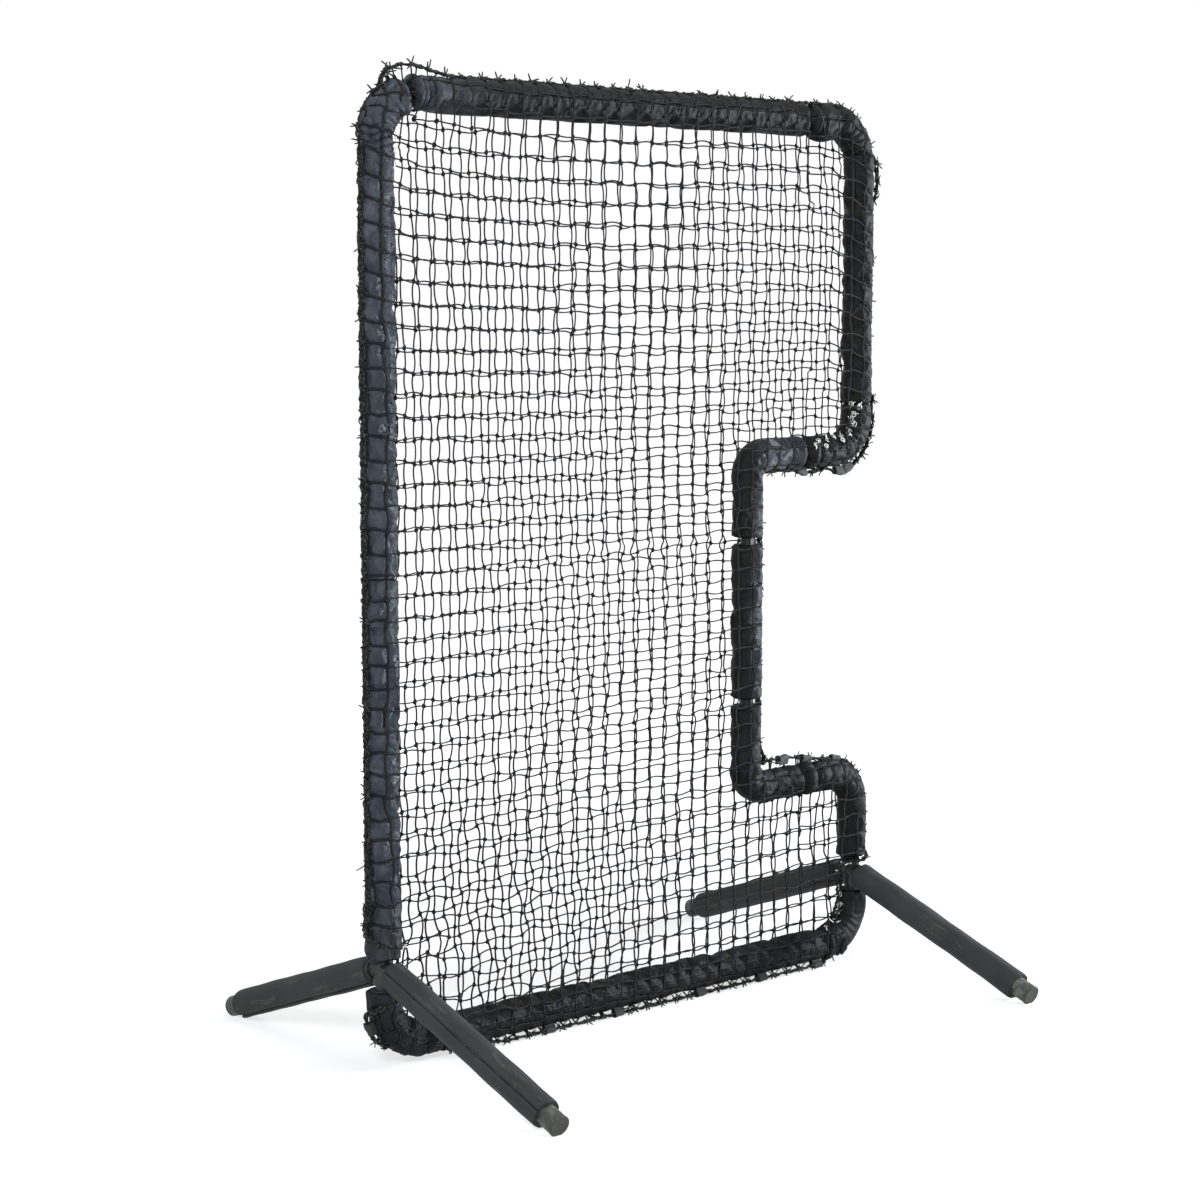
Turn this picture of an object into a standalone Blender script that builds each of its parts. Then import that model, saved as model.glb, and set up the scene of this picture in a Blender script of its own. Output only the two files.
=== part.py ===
"""C-shaped softball screen: a padded steel frame under a two-layer net, on four slip-on legs."""
import math

import bmesh
import bpy
from mathutils import Matrix, Vector

# Frame: centre lines of the tubes, in metres from the floor and between the outer posts
FRAME_WIDTH = 1.486
BOTTOM_RAIL_HEIGHT = 0.054
TOP_RAIL_HEIGHT = 2.115
LOWER_ARM_HEIGHT = 0.490
UPPER_ARM_HEIGHT = 1.304
NOTCH_DEPTH = 0.380
CORNER_RADIUS = 0.100
ARM_CORNER_RADIUS = 0.085
NOTCH_CORNER_RADIUS = 0.050

# Steel tube of the frame, each length swaged to a spigot that slips into the next
TUBE_RADIUS = 0.01745
TUBE_WALL = 0.00165
SPIGOT_LENGTH = 0.060
SWAGE_LENGTH = 0.010
TUBE_SIDES = 10
TUBE_BEND_STEPS = 3
FIT = 0.0003
MERGE = 0.00001
CLOSEST_POINTS = 0.0015

# Where the tubes join: on the left post from the floor, on the right post from the upper arm, on the rails and
# arms from the nearer outer post, and on the notch's post from the nearer arm
LEFT_POST_JOINT_HEIGHT = 1.085
TOP_LEFT_JOINT = 0.108
TOP_RIGHT_JOINT = 0.166
RIGHT_POST_JOINT = 0.156
UPPER_ARM_JOINT = 0.158
NOTCH_UPPER_JOINT = 0.144
NOTCH_LOWER_JOINT = 0.170
LOWER_ARM_JOINT = 0.156
BOTTOM_RIGHT_JOINT = 0.143
BOTTOM_LEFT_JOINT = 0.173

# Padding sleeves: foam in vinyl, drawn in at both ends. Some seams lie a little way off the tubes' joints
SLEEVE_RADIUS = 0.0349
SLEEVE_SIDES = 12
SLEEVE_BEND_STEPS = 5
CUFF_LENGTH = 0.009
CUFF_SHRINK = 0.14
CUFF_MIDDLE = 0.4
SEAM_GAP = 0.0010
BORE_OVERRUN = 0.005
BARE_TUBE_GAP = 0.017
NOTCH_UPPER_GAP_BELOW_JOINT = 0.0605
NOTCH_LOWER_GAP_ABOVE_JOINT = 0.045
RIGHT_POST_SEAM_BELOW_JOINT = 0.037
BOTTOM_LEFT_SEAM_BEFORE_JOINT = 0.026
BOTTOM_RIGHT_SEAM_BEFORE_JOINT = 0.035
GATHER_BELOW_TOP_RAIL = 0.168
GATHER_PITCH = 0.025
GATHER_DEPTH = 0.0035
GATHER_RIDGES = 4

# Leg sockets on the outer posts, and the legs that slip over them
SOCKET_HEIGHT = 0.232
LEG_SLOPE = math.radians(19.6)
COLLAR_LENGTH = 0.060
COLLAR_WALL = 0.0033
SOCKET_GAP_ABOVE = 0.022
RIGHT_SOCKET_GAP_ABOVE = 0.037
SOCKET_GAP_BELOW = 0.050
STUB_LENGTH = 0.180
STUB_WALL = 0.0020
STOP_RING_START = 0.026
STOP_RING_LENGTH = 0.006
STOP_RING_RADIUS = 0.0240
LEG_RADIUS = 0.0238
LEG_WALL = 0.00165
LEG_SIDES = 16
STUB_SIDES = 12

# Foam pipe on each leg, split along its length, and the plug in its end
FOAM_RADIUS = 0.0340
FOAM_START = 0.035
FOAM_SHORT_OF_END = 0.040
FOAM_SLIT = 0.0040
FOAM_ARC_STEPS = 20
PLUG_FLANGE_RADIUS = 0.0246
PLUG_FLANGE = 0.006
PLUG_STEM = 0.022
PLUG_ROUNDING = 0.0015
FOOT_FLAT = 0.0015
FLOOR_BLOCK = (3.0, 3.0, 0.02)

# Net: a flat layer on each face, drawn in to a border cord. One gap here stands for 3 x 3 meshes
MESH = 0.0476
MESHES_PER_GAP = 3
STRAND = 0.0030
NET_PAST_TUBE = 0.016
NET_REST = 0.0004
NET_LEG_OPENING = 0.117
NET_CORNER_STEPS = 3
NOTCH_STRAND_SHIFT = 0.0128
BORDER_OFFSET = 0.046
BORDER_RADIUS = 0.0030

# Closure tabs folded round the border cord
TAB_LENGTH = 0.024
TAB_WALL = 0.0012
TAB_REACH = 0.0060
TAB_HALF_WIDTH = 0.0072
TAB_FOLD = 0.0020
TAB_CLEAR_OF_STRAND = 0.004
BOTTOM_TABS_FROM_LEFT = (0.455, 0.668, 0.935, 1.143)
BOTTOM_TABS_FROM_RIGHT = (0.148, 0.048)
CORNER_TAB_HEIGHT = 0.045
LOWER_ARM_TABS = (0.252, 0.172, 0.092)
NOTCH_TABS = (0.674, 0.532, 0.406)
UPPER_ARM_TABS = (0.197, 0.084, 0.017)

HALF_WIDTH = FRAME_WIDTH / 2
NOTCH_X = HALF_WIDTH - NOTCH_DEPTH
NOTCH_HEIGHT = UPPER_ARM_HEIGHT - LOWER_ARM_HEIGHT
TUBE_BORE = TUBE_RADIUS - TUBE_WALL
SPIGOT_RADIUS = TUBE_BORE * math.cos(math.pi / TUBE_SIDES) - FIT
SLEEVE_BORE = (TUBE_RADIUS + FIT) / math.cos(math.pi / TUBE_SIDES)
LEG_BORE = LEG_RADIUS - LEG_WALL
STUB_RADIUS = LEG_BORE * math.cos(math.pi / LEG_SIDES) - FIT
FOAM_BORE = (LEG_RADIUS + FIT) / math.cos(math.pi / LEG_SIDES)
NET_PLANE = SLEEVE_RADIUS + STRAND / 2 + NET_REST

# Runs of the frame's centre line, counted from the bottom left corner and going up
LEFT_POST, TOP_RAIL, RIGHT_POST, UPPER_ARM, NOTCH_POST, LOWER_ARM, RIGHT_FOOT, BOTTOM_RAIL = range(8)

for leftover in list(bpy.data.objects):
    bpy.data.objects.remove(leftover, do_unlink=True)
PARTS = bpy.data.collections.new("c_shaped_softball_screen")
CUTTERS = bpy.data.collections.new("cutters")
bpy.context.scene.collection.children.link(PARTS)
bpy.context.scene.collection.children.link(CUTTERS)


def material(name, red, green, blue, roughness, metallic=0.0):
    finish = bpy.data.materials.new(name)
    finish.use_nodes = True
    shader = finish.node_tree.nodes["Principled BSDF"]
    shader.inputs["Base Color"].default_value = (red, green, blue, 1.0)
    shader.inputs["Roughness"].default_value = roughness
    shader.inputs["Metallic"].default_value = metallic
    return finish


STEEL = material("painted_steel", 0.040, 0.042, 0.038, 0.50, 0.3)
VINYL = material("black_vinyl", 0.012, 0.012, 0.014, 0.45)
FOAM = material("grey_foam", 0.035, 0.034, 0.028, 0.90)
PLASTIC = material("grey_plastic", 0.050, 0.051, 0.040, 0.60)
TWINE = material("black_twine", 0.010, 0.010, 0.012, 0.85)
STRAP = material("black_strap", 0.016, 0.016, 0.018, 0.80)


def place(piece, finish, smooth=True):
    """Puts a finished piece among the parts with its material."""
    PARTS.objects.link(piece)
    piece.data.materials.clear()
    piece.data.materials.append(finish)
    if smooth and piece.type == "MESH":
        piece.data.shade_smooth()
        piece.data.set_sharp_from_angle(angle=math.radians(40))
    return piece


def place_cutter(piece):
    CUTTERS.objects.link(piece)
    piece.hide_render = True
    piece.display_type = "WIRE"
    return piece


def boolean(piece, cutter, operation):
    step = piece.modifiers.new(cutter.name, "BOOLEAN")
    step.operation = operation
    step.solver = "EXACT"
    step.object = cutter


def weld(piece):
    """Closes the hairline edges that a cut leaves."""
    step = piece.modifiers.new("weld", "WELD")
    step.merge_threshold = MERGE


def bent_rod(name, points, radius, factors=None, sides=TUBE_SIDES, caps=True, closed=False):
    """A round rod or open tube along the points, as a mesh, from a bevelled curve."""
    curve = bpy.data.curves.new(name, "CURVE")
    curve.dimensions = "3D"
    curve.bevel_depth = radius
    curve.bevel_resolution = sides // 2 - 2
    curve.use_fill_caps = caps
    spline = curve.splines.new("POLY")
    spline.points.add(len(points) - 1)
    spline.use_cyclic_u = closed
    for index, point in enumerate(points):
        spline.points[index].co = (*point, 1.0)
        spline.points[index].radius = factors[index] if factors else 1.0
    rod = bpy.data.objects.new(name, curve)
    CUTTERS.objects.link(rod)
    bpy.context.view_layer.update()
    mesh = bpy.data.meshes.new_from_object(rod.evaluated_get(bpy.context.evaluated_depsgraph_get()))
    mesh.name = name
    welded = bmesh.new()
    welded.from_mesh(mesh)
    bmesh.ops.remove_doubles(welded, verts=welded.verts, dist=MERGE)
    welded.to_mesh(mesh)
    welded.free()
    matrix = rod.matrix_world.copy()
    bpy.data.objects.remove(rod, do_unlink=True)
    bpy.data.curves.remove(curve)
    piece = bpy.data.objects.new(name, mesh)
    piece.matrix_world = matrix
    return piece


def turned(name, profile, steps):
    """A turned shape from (radius, height) pairs that run down its outer side."""
    mesh = bpy.data.meshes.new(name)
    edges = [(index, index + 1) for index in range(len(profile) - 1)]
    mesh.from_pydata([(radius, 0.0, height) for radius, height in profile], edges, [])
    piece = bpy.data.objects.new(name, mesh)
    spin = piece.modifiers.new("turn", "SCREW")
    spin.steps = steps
    spin.render_steps = steps
    spin.use_merge_vertices = True
    spin.merge_threshold = MERGE
    return piece


def extruded(name, outline, length):
    """A flat outline in X and Y, extruded along Z about its middle."""
    curve = bpy.data.curves.new(name, "CURVE")
    curve.dimensions = "2D"
    curve.fill_mode = "BOTH"
    curve.extrude = length / 2
    spline = curve.splines.new("POLY")
    spline.points.add(len(outline) - 1)
    spline.use_cyclic_u = True
    for index, (across, up) in enumerate(outline):
        spline.points[index].co = (across, up, 0.0, 1.0)
    return bpy.data.objects.new(name, curve)


class FrameLoop:
    """The frame's centre line: straight runs and quarter bends, measured by the way along it."""

    def __init__(self, corners):
        self.corners = corners
        self.parts = []
        way = 0.0
        count = len(corners)
        for index, (x, z, radius) in enumerate(corners):
            next_x, next_z, next_radius = corners[(index + 1) % count]
            after_x, after_z, _ = corners[(index + 2) % count]
            ahead = Vector((next_x - x, 0.0, next_z - z)).normalized()
            turn = Vector((after_x - next_x, 0.0, after_z - next_z)).normalized()
            start = Vector((x, 0.0, z)) + ahead * radius
            end = Vector((next_x, 0.0, next_z)) - ahead * next_radius
            length = (end - start).length
            self.parts.append((way, length, start, ahead, None, 0.0))
            way += length
            bend = next_radius * math.pi / 2
            self.parts.append((way, bend, end, ahead, turn, next_radius))
            way += bend
        self.length = way

    def on_run(self, run, from_corner):
        """The way to a point of a straight run, given by its distance from the run's first corner."""
        return self.parts[2 * run][0] + from_corner - self.corners[run][2]

    def point(self, way):
        way = way % self.length
        for start_way, length, start, ahead, turn, radius in self.parts:
            if way <= start_way + length:
                break
        along = way - start_way
        if turn is None:
            return start + ahead * along
        angle = along / radius
        return start + ahead * radius * math.sin(angle) + turn * radius * (1 - math.cos(angle))

    def bend_ways(self, start, end, steps):
        """The ways of the bends' points that lie between two ways."""
        ways = []
        for lap in (0.0, self.length):
            for way, length, _, _, turn, _ in self.parts:
                if turn is not None:
                    ways += [lap + way + length * step / steps for step in range(steps + 1)]
        return [way for way in ways if start + CLOSEST_POINTS < way < end - CLOSEST_POINTS]

    def points(self, ways):
        return [self.point(way) for way in ways]


FRAME = FrameLoop([
    (-HALF_WIDTH, BOTTOM_RAIL_HEIGHT, CORNER_RADIUS),
    (-HALF_WIDTH, TOP_RAIL_HEIGHT, CORNER_RADIUS),
    (HALF_WIDTH, TOP_RAIL_HEIGHT, CORNER_RADIUS),
    (HALF_WIDTH, UPPER_ARM_HEIGHT, ARM_CORNER_RADIUS),
    (NOTCH_X, UPPER_ARM_HEIGHT, NOTCH_CORNER_RADIUS),
    (NOTCH_X, LOWER_ARM_HEIGHT, NOTCH_CORNER_RADIUS),
    (HALF_WIDTH, LOWER_ARM_HEIGHT, ARM_CORNER_RADIUS),
    (HALF_WIDTH, BOTTOM_RAIL_HEIGHT, CORNER_RADIUS),
])


def frame_tube(name, start, end):
    """One steel tube between two joints, swaged down to its spigot past the second."""
    swage_start = end - SWAGE_LENGTH - FIT
    body = [start + FIT / 2] + FRAME.bend_ways(start, swage_start, TUBE_BEND_STEPS) + [swage_start]
    ways = body + [end - FIT, end + SPIGOT_LENGTH]
    factors = [1.0] * len(body) + [SPIGOT_RADIUS / TUBE_RADIUS] * 2
    tube = bent_rod(name, FRAME.points(ways), TUBE_RADIUS, factors, caps=False)
    wall = tube.modifiers.new("wall", "SOLIDIFY")
    wall.thickness = TUBE_WALL
    wall.offset = -1.0
    place(tube, STEEL)


def frame_tubes():
    """Twelve tubes, from the left leg socket up, over the top, round the notch and back."""
    joints = [
        FRAME.on_run(LEFT_POST, SOCKET_HEIGHT - BOTTOM_RAIL_HEIGHT),
        FRAME.on_run(LEFT_POST, LEFT_POST_JOINT_HEIGHT - BOTTOM_RAIL_HEIGHT),
        FRAME.on_run(TOP_RAIL, TOP_LEFT_JOINT),
        FRAME.on_run(TOP_RAIL, FRAME_WIDTH - TOP_RIGHT_JOINT),
        FRAME.on_run(RIGHT_POST, TOP_RAIL_HEIGHT - UPPER_ARM_HEIGHT - RIGHT_POST_JOINT),
        FRAME.on_run(UPPER_ARM, UPPER_ARM_JOINT),
        FRAME.on_run(NOTCH_POST, NOTCH_UPPER_JOINT),
        FRAME.on_run(NOTCH_POST, NOTCH_HEIGHT - NOTCH_LOWER_JOINT),
        FRAME.on_run(LOWER_ARM, NOTCH_DEPTH - LOWER_ARM_JOINT),
        FRAME.on_run(RIGHT_FOOT, LOWER_ARM_HEIGHT - SOCKET_HEIGHT),
        FRAME.on_run(BOTTOM_RAIL, BOTTOM_RIGHT_JOINT),
        FRAME.on_run(BOTTOM_RAIL, FRAME_WIDTH - BOTTOM_LEFT_JOINT),
    ]
    names = [
        "left_post_lower_tube", "left_post_upper_tube", "top_rail_tube", "right_post_upper_tube",
        "upper_arm_tube", "notch_top_tube", "notch_post_tube", "notch_bottom_tube",
        "right_post_lower_tube", "bottom_right_tube", "bottom_rail_tube", "bottom_left_tube",
    ]
    for name, start, end in zip(names, joints, joints[1:] + [joints[0] + FRAME.length]):
        frame_tube(name, start, end)


def sleeve_shrink(from_end):
    """The sleeve's radius near a cuff, as a share of its full radius."""
    inward = max(0.0, 1 - from_end / CUFF_LENGTH)
    return 1 - CUFF_SHRINK * inward * inward


def padding_sleeve(name, start, end, gathers=()):
    """Foam padding along the frame with drawn-in cuffs, bored for the tube."""
    cuff = [0.0, CUFF_LENGTH * CUFF_MIDDLE, CUFF_LENGTH]
    ways = [start + inset for inset in cuff] + [end - inset for inset in cuff]
    bends = FRAME.bend_ways(start + CUFF_LENGTH, end - CUFF_LENGTH, SLEEVE_BEND_STEPS)
    gather_ways = [way for way, _ in gathers]
    spread = GATHER_PITCH / 4
    ways += gather_ways + [way for way in bends if all(abs(way - other) > spread for other in gather_ways)]
    ways.sort()
    drawn = dict(gathers)
    factors = []
    for way in ways:
        full = sleeve_shrink(min(way - start, end - way))
        factors.append(full - drawn.get(way, 0.0) / SLEEVE_RADIUS)
    sleeve = bent_rod(name, FRAME.points(ways), SLEEVE_RADIUS, factors, sides=SLEEVE_SIDES)
    bore_start = start - BORE_OVERRUN
    bore_end = end + BORE_OVERRUN
    bore_ways = [bore_start] + FRAME.bend_ways(bore_start, bore_end, TUBE_BEND_STEPS) + [bore_end]
    bore = place_cutter(bent_rod(name + "_bore", FRAME.points(bore_ways), SLEEVE_BORE))
    boolean(sleeve, bore, "DIFFERENCE")
    weld(sleeve)
    place(sleeve, VINYL)


def padding_sleeves():
    """Twelve sleeves, closed up at their seams, with bare tube in the notch and at the sockets."""
    left_middle = SOCKET_HEIGHT + (SOCKET_GAP_ABOVE - SOCKET_GAP_BELOW) / 2
    left_half = (SOCKET_GAP_ABOVE + SOCKET_GAP_BELOW) / 2
    right_middle = SOCKET_HEIGHT + (RIGHT_SOCKET_GAP_ABOVE - SOCKET_GAP_BELOW) / 2
    right_half = (RIGHT_SOCKET_GAP_ABOVE + SOCKET_GAP_BELOW) / 2
    seam_half = SEAM_GAP / 2
    bare_half = BARE_TUBE_GAP / 2
    right_post_seam = TOP_RAIL_HEIGHT - UPPER_ARM_HEIGHT - RIGHT_POST_JOINT + RIGHT_POST_SEAM_BELOW_JOINT
    lower_gap = NOTCH_LOWER_JOINT + NOTCH_LOWER_GAP_ABOVE_JOINT
    bottom_left_seam = BOTTOM_LEFT_JOINT - BOTTOM_LEFT_SEAM_BEFORE_JOINT
    seams = [
        (FRAME.on_run(LEFT_POST, left_middle - BOTTOM_RAIL_HEIGHT), left_half),
        (FRAME.on_run(LEFT_POST, LEFT_POST_JOINT_HEIGHT - BOTTOM_RAIL_HEIGHT), seam_half),
        (FRAME.on_run(TOP_RAIL, TOP_LEFT_JOINT), seam_half),
        (FRAME.on_run(TOP_RAIL, FRAME_WIDTH - TOP_RIGHT_JOINT), seam_half),
        (FRAME.on_run(RIGHT_POST, right_post_seam), seam_half),
        (FRAME.on_run(UPPER_ARM, UPPER_ARM_JOINT), seam_half),
        (FRAME.on_run(NOTCH_POST, NOTCH_UPPER_JOINT + NOTCH_UPPER_GAP_BELOW_JOINT), bare_half),
        (FRAME.on_run(NOTCH_POST, NOTCH_HEIGHT - lower_gap), bare_half),
        (FRAME.on_run(LOWER_ARM, NOTCH_DEPTH - LOWER_ARM_JOINT), seam_half),
        (FRAME.on_run(RIGHT_FOOT, LOWER_ARM_HEIGHT - right_middle), right_half),
        (FRAME.on_run(BOTTOM_RAIL, BOTTOM_RIGHT_JOINT - BOTTOM_RIGHT_SEAM_BEFORE_JOINT), seam_half),
        (FRAME.on_run(BOTTOM_RAIL, FRAME_WIDTH - bottom_left_seam), seam_half),
    ]
    names = [
        "left_post_lower_padding", "left_post_upper_padding", "top_rail_padding",
        "right_post_upper_padding", "upper_arm_padding", "notch_top_padding", "notch_post_padding",
        "notch_bottom_padding", "right_post_lower_padding", "bottom_right_padding",
        "bottom_rail_padding", "bottom_left_padding",
    ]
    first_gather = FRAME.on_run(LEFT_POST, TOP_RAIL_HEIGHT - BOTTOM_RAIL_HEIGHT - GATHER_BELOW_TOP_RAIL)
    gathers = []
    for half in range(2 * GATHER_RIDGES + 1):
        gathers.append((first_gather + half * GATHER_PITCH / 2, GATHER_DEPTH if half % 2 else 0.0))
    following = seams[1:] + [(seams[0][0] + FRAME.length, seams[0][1])]
    for name, (start, start_half), (end, end_half) in zip(names, seams, following):
        folds = gathers if name == "left_post_upper_padding" else ()
        padding_sleeve(name, start + start_half, end - end_half, folds)


def leg_rotation(side):
    """Turns +Z to point out and down along a leg, to the front (-1) or the back (+1)."""
    return (-side * (math.pi / 2 + LEG_SLOPE), 0.0, 0.0)


def leg_socket(name, x):
    """A collar round the post with two sloping stubs, each with a stop ring for its leg."""
    bpy.ops.mesh.primitive_cylinder_add(
        vertices=STUB_SIDES, radius=SLEEVE_BORE + COLLAR_WALL, depth=COLLAR_LENGTH,
        location=(x, 0.0, SOCKET_HEIGHT + SOCKET_GAP_ABOVE - FIT - COLLAR_LENGTH / 2))
    collar = bpy.context.object
    collar.name = name
    collar.data.name = name
    for holder in list(collar.users_collection):
        holder.objects.unlink(collar)
    ring_end = STOP_RING_START + STOP_RING_LENGTH
    stub_bore = STUB_RADIUS - STUB_WALL
    profile = [
        (0.0, ring_end), (stub_bore, ring_end), (stub_bore, STUB_LENGTH), (STUB_RADIUS, STUB_LENGTH),
        (STUB_RADIUS, ring_end), (STOP_RING_RADIUS, ring_end), (STOP_RING_RADIUS, STOP_RING_START),
        (STUB_RADIUS, STOP_RING_START), (STUB_RADIUS, 0.0), (0.0, 0.0),
    ]
    for side in (-1, 1):
        stub_name = name + ("_front_stub" if side < 0 else "_back_stub")
        stub = place_cutter(turned(stub_name, profile, STUB_SIDES))
        stub.location = (x, 0.0, SOCKET_HEIGHT)
        stub.rotation_euler = leg_rotation(side)
        boolean(collar, stub, "UNION")
    post_ends = [(x, 0.0, SOCKET_HEIGHT - COLLAR_LENGTH), (x, 0.0, SOCKET_HEIGHT + COLLAR_LENGTH)]
    boolean(collar, place_cutter(bent_rod(name + "_bore", post_ends, SLEEVE_BORE)), "DIFFERENCE")
    weld(collar)
    place(collar, STEEL)


PLUG_FACE = [
    (0.0, 0.0),
    (PLUG_FLANGE_RADIUS - PLUG_ROUNDING, 0.0),
    (PLUG_FLANGE_RADIUS, -PLUG_ROUNDING),
]


def leg_tip():
    """How far out along the leg its plug's face lies, so that the foot's flat is on the floor."""
    lowest = max(radius * math.cos(LEG_SLOPE) + back * math.sin(LEG_SLOPE) for radius, back in PLUG_FACE)
    return (SOCKET_HEIGHT + FOOT_FLAT - lowest) / math.sin(LEG_SLOPE)


def foam_outline(slit_angle):
    """A ring cut open by the slit, whose middle is at the given angle from +X."""
    outline = []
    for radius, direction in ((FOAM_RADIUS, 1), (FOAM_BORE, -1)):
        half_slit = math.asin(FOAM_SLIT / 2 / radius)
        sweep = 2 * math.pi - 2 * half_slit
        steps = range(FOAM_ARC_STEPS + 1) if direction > 0 else range(FOAM_ARC_STEPS, -1, -1)
        for step in steps:
            angle = slit_angle + half_slit + sweep * step / FOAM_ARC_STEPS
            outline.append((radius * math.cos(angle), radius * math.sin(angle)))
    return outline


def leg(name, x, side, slit_from_top, floor):
    """One slip-on leg: tube, split foam pipe and end plug, carried by an empty on its axis."""
    axis = bpy.data.objects.new(name + "_axis", None)
    axis.location = (x, 0.0, SOCKET_HEIGHT)
    axis.rotation_euler = leg_rotation(side)
    PARTS.objects.link(axis)
    tube_start = STOP_RING_START + STOP_RING_LENGTH + FIT
    tip = leg_tip()
    tube_end = tip - PLUG_FLANGE - FIT
    tube_length = tube_end - tube_start
    bpy.ops.mesh.primitive_cylinder_add(
        vertices=LEG_SIDES, radius=LEG_RADIUS, depth=tube_length, end_fill_type="NOTHING")
    tube = bpy.context.object
    tube.name = name + "_tube"
    tube.data.name = tube.name
    for holder in list(tube.users_collection):
        holder.objects.unlink(tube)
    tube.location = (0.0, 0.0, tube_start + tube_length / 2)
    wall = tube.modifiers.new("wall", "SOLIDIFY")
    wall.thickness = LEG_WALL
    wall.offset = -1.0
    place(tube, STEEL)
    foam_end = tube_end - FOAM_SHORT_OF_END
    up = math.pi / 2 if side < 0 else -math.pi / 2
    toward_left = slit_from_top if side < 0 else -slit_from_top
    foam = extruded(name + "_foam", foam_outline(up + toward_left), foam_end - FOAM_START)
    foam.location = (0.0, 0.0, (FOAM_START + foam_end) / 2)
    place(foam, FOAM)
    stem = [(STUB_RADIUS, -PLUG_FLANGE), (STUB_RADIUS, -PLUG_FLANGE - PLUG_STEM), (0.0, -PLUG_FLANGE - PLUG_STEM)]
    plug = turned(name + "_plug", PLUG_FACE + [(PLUG_FLANGE_RADIUS, -PLUG_FLANGE)] + stem, LEG_SIDES)
    plug.location = (0.0, 0.0, tip)
    boolean(plug, floor, "DIFFERENCE")
    place(plug, PLASTIC, smooth=False)
    for piece in (tube, foam, plug):
        piece.parent = axis


def legs():
    """Four legs, told apart by the angle of the foam's slit from its top towards the left."""
    bpy.ops.mesh.primitive_cube_add(size=1.0)
    floor = bpy.context.object
    floor.name = "floor_level"
    for holder in list(floor.users_collection):
        holder.objects.unlink(floor)
    place_cutter(floor)
    floor.data.transform(Matrix.Diagonal((*FLOOR_BLOCK, 1.0)))
    floor.location = (0.0, 0.0, -FLOOR_BLOCK[2] / 2)
    leg("front_left_leg", -HALF_WIDTH, -1, math.radians(60), floor)
    leg("back_left_leg", -HALF_WIDTH, 1, math.radians(150), floor)
    leg("front_right_leg", HALF_WIDTH, -1, math.radians(180), floor)
    leg("back_right_leg", HALF_WIDTH, 1, math.radians(55), floor)


def spaced(start, end):
    """Stations from start to end, about one modelled gap apart."""
    count = max(1, round((end - start) / (MESH * MESHES_PER_GAP)))
    return [start + (end - start) * step / count for step in range(count + 1)]


def net_stations():
    """The columns and rows of the net, with an edge at the notch and a gap for the legs."""
    outer = HALF_WIDTH + NET_PAST_TUBE
    notch = NOTCH_X + NET_PAST_TUBE
    leg_height = SOCKET_HEIGHT - NET_PLANE * math.tan(LEG_SLOPE)
    below_leg = leg_height - NET_LEG_OPENING / 2
    above_leg = leg_height + NET_LEG_OPENING / 2
    lower_arm = LOWER_ARM_HEIGHT + NET_PAST_TUBE
    upper_arm = UPPER_ARM_HEIGHT - NET_PAST_TUBE
    columns = spaced(-outer, notch) + spaced(notch, outer)[1:]
    rows = spaced(BOTTOM_RAIL_HEIGHT - NET_PAST_TUBE, below_leg) + spaced(above_leg, lower_arm)
    rows += spaced(lower_arm, upper_arm)[1:] + spaced(upper_arm, TOP_RAIL_HEIGHT + NET_PAST_TUBE)[1:]
    return columns, rows, (below_leg, above_leg)


def near(vertex, x, z):
    return abs(vertex.co.x - x) < 0.0001 and abs(vertex.co.z - z) < 0.0001


def net_lattice():
    """The net flat in its plane: a grid with the notch left out and the outer corners rounded."""
    columns, rows, _ = net_stations()
    net = bmesh.new()
    bmesh.ops.create_grid(net, x_segments=len(columns) - 1, y_segments=len(rows) - 1, size=0.5)
    for vertex in net.verts:
        column = round((vertex.co.x + 0.5) * (len(columns) - 1))
        row = round((vertex.co.y + 0.5) * (len(rows) - 1))
        vertex.co = (columns[column], 0.0, rows[row])
    in_notch = []
    for face in net.faces:
        middle = face.calc_center_median()
        if middle.x > NOTCH_X and LOWER_ARM_HEIGHT < middle.z < UPPER_ARM_HEIGHT:
            in_notch.append(face)
    bmesh.ops.delete(net, geom=in_notch, context="FACES")
    outer = HALF_WIDTH + NET_PAST_TUBE
    corners = [
        (-outer, rows[0], CORNER_RADIUS), (outer, rows[0], CORNER_RADIUS),
        (-outer, rows[-1], CORNER_RADIUS), (outer, rows[-1], CORNER_RADIUS),
        (outer, LOWER_ARM_HEIGHT + NET_PAST_TUBE, ARM_CORNER_RADIUS),
        (outer, UPPER_ARM_HEIGHT - NET_PAST_TUBE, ARM_CORNER_RADIUS),
    ]
    for x, z, radius in corners:
        corner = [vertex for vertex in net.verts if near(vertex, x, z)]
        bmesh.ops.bevel(net, geom=corner, offset=radius + NET_PAST_TUBE, segments=NET_CORNER_STEPS,
                        profile=0.5, affect="VERTICES")
    return net


def border_shifts(net):
    """How far each point on the lattice's edge moves outwards, mitred, to lie on the border."""
    shifts = {}
    for vertex in net.verts:
        normals = []
        for edge in vertex.link_edges:
            if edge.is_boundary:
                along = (edge.verts[1].co - edge.verts[0].co).normalized()
                outward = Vector((along.z, 0.0, -along.x))
                middle = (edge.verts[0].co + edge.verts[1].co) / 2
                if outward.dot(middle - edge.link_faces[0].calc_center_median()) < 0:
                    outward = -outward
                normals.append(outward)
        if len(normals) == 2:
            mitre = (normals[0] + normals[1]) / (1 + normals[0].dot(normals[1]))
            shifts[vertex.index] = mitre * (BORDER_OFFSET - NET_PAST_TUBE)
    return shifts


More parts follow.
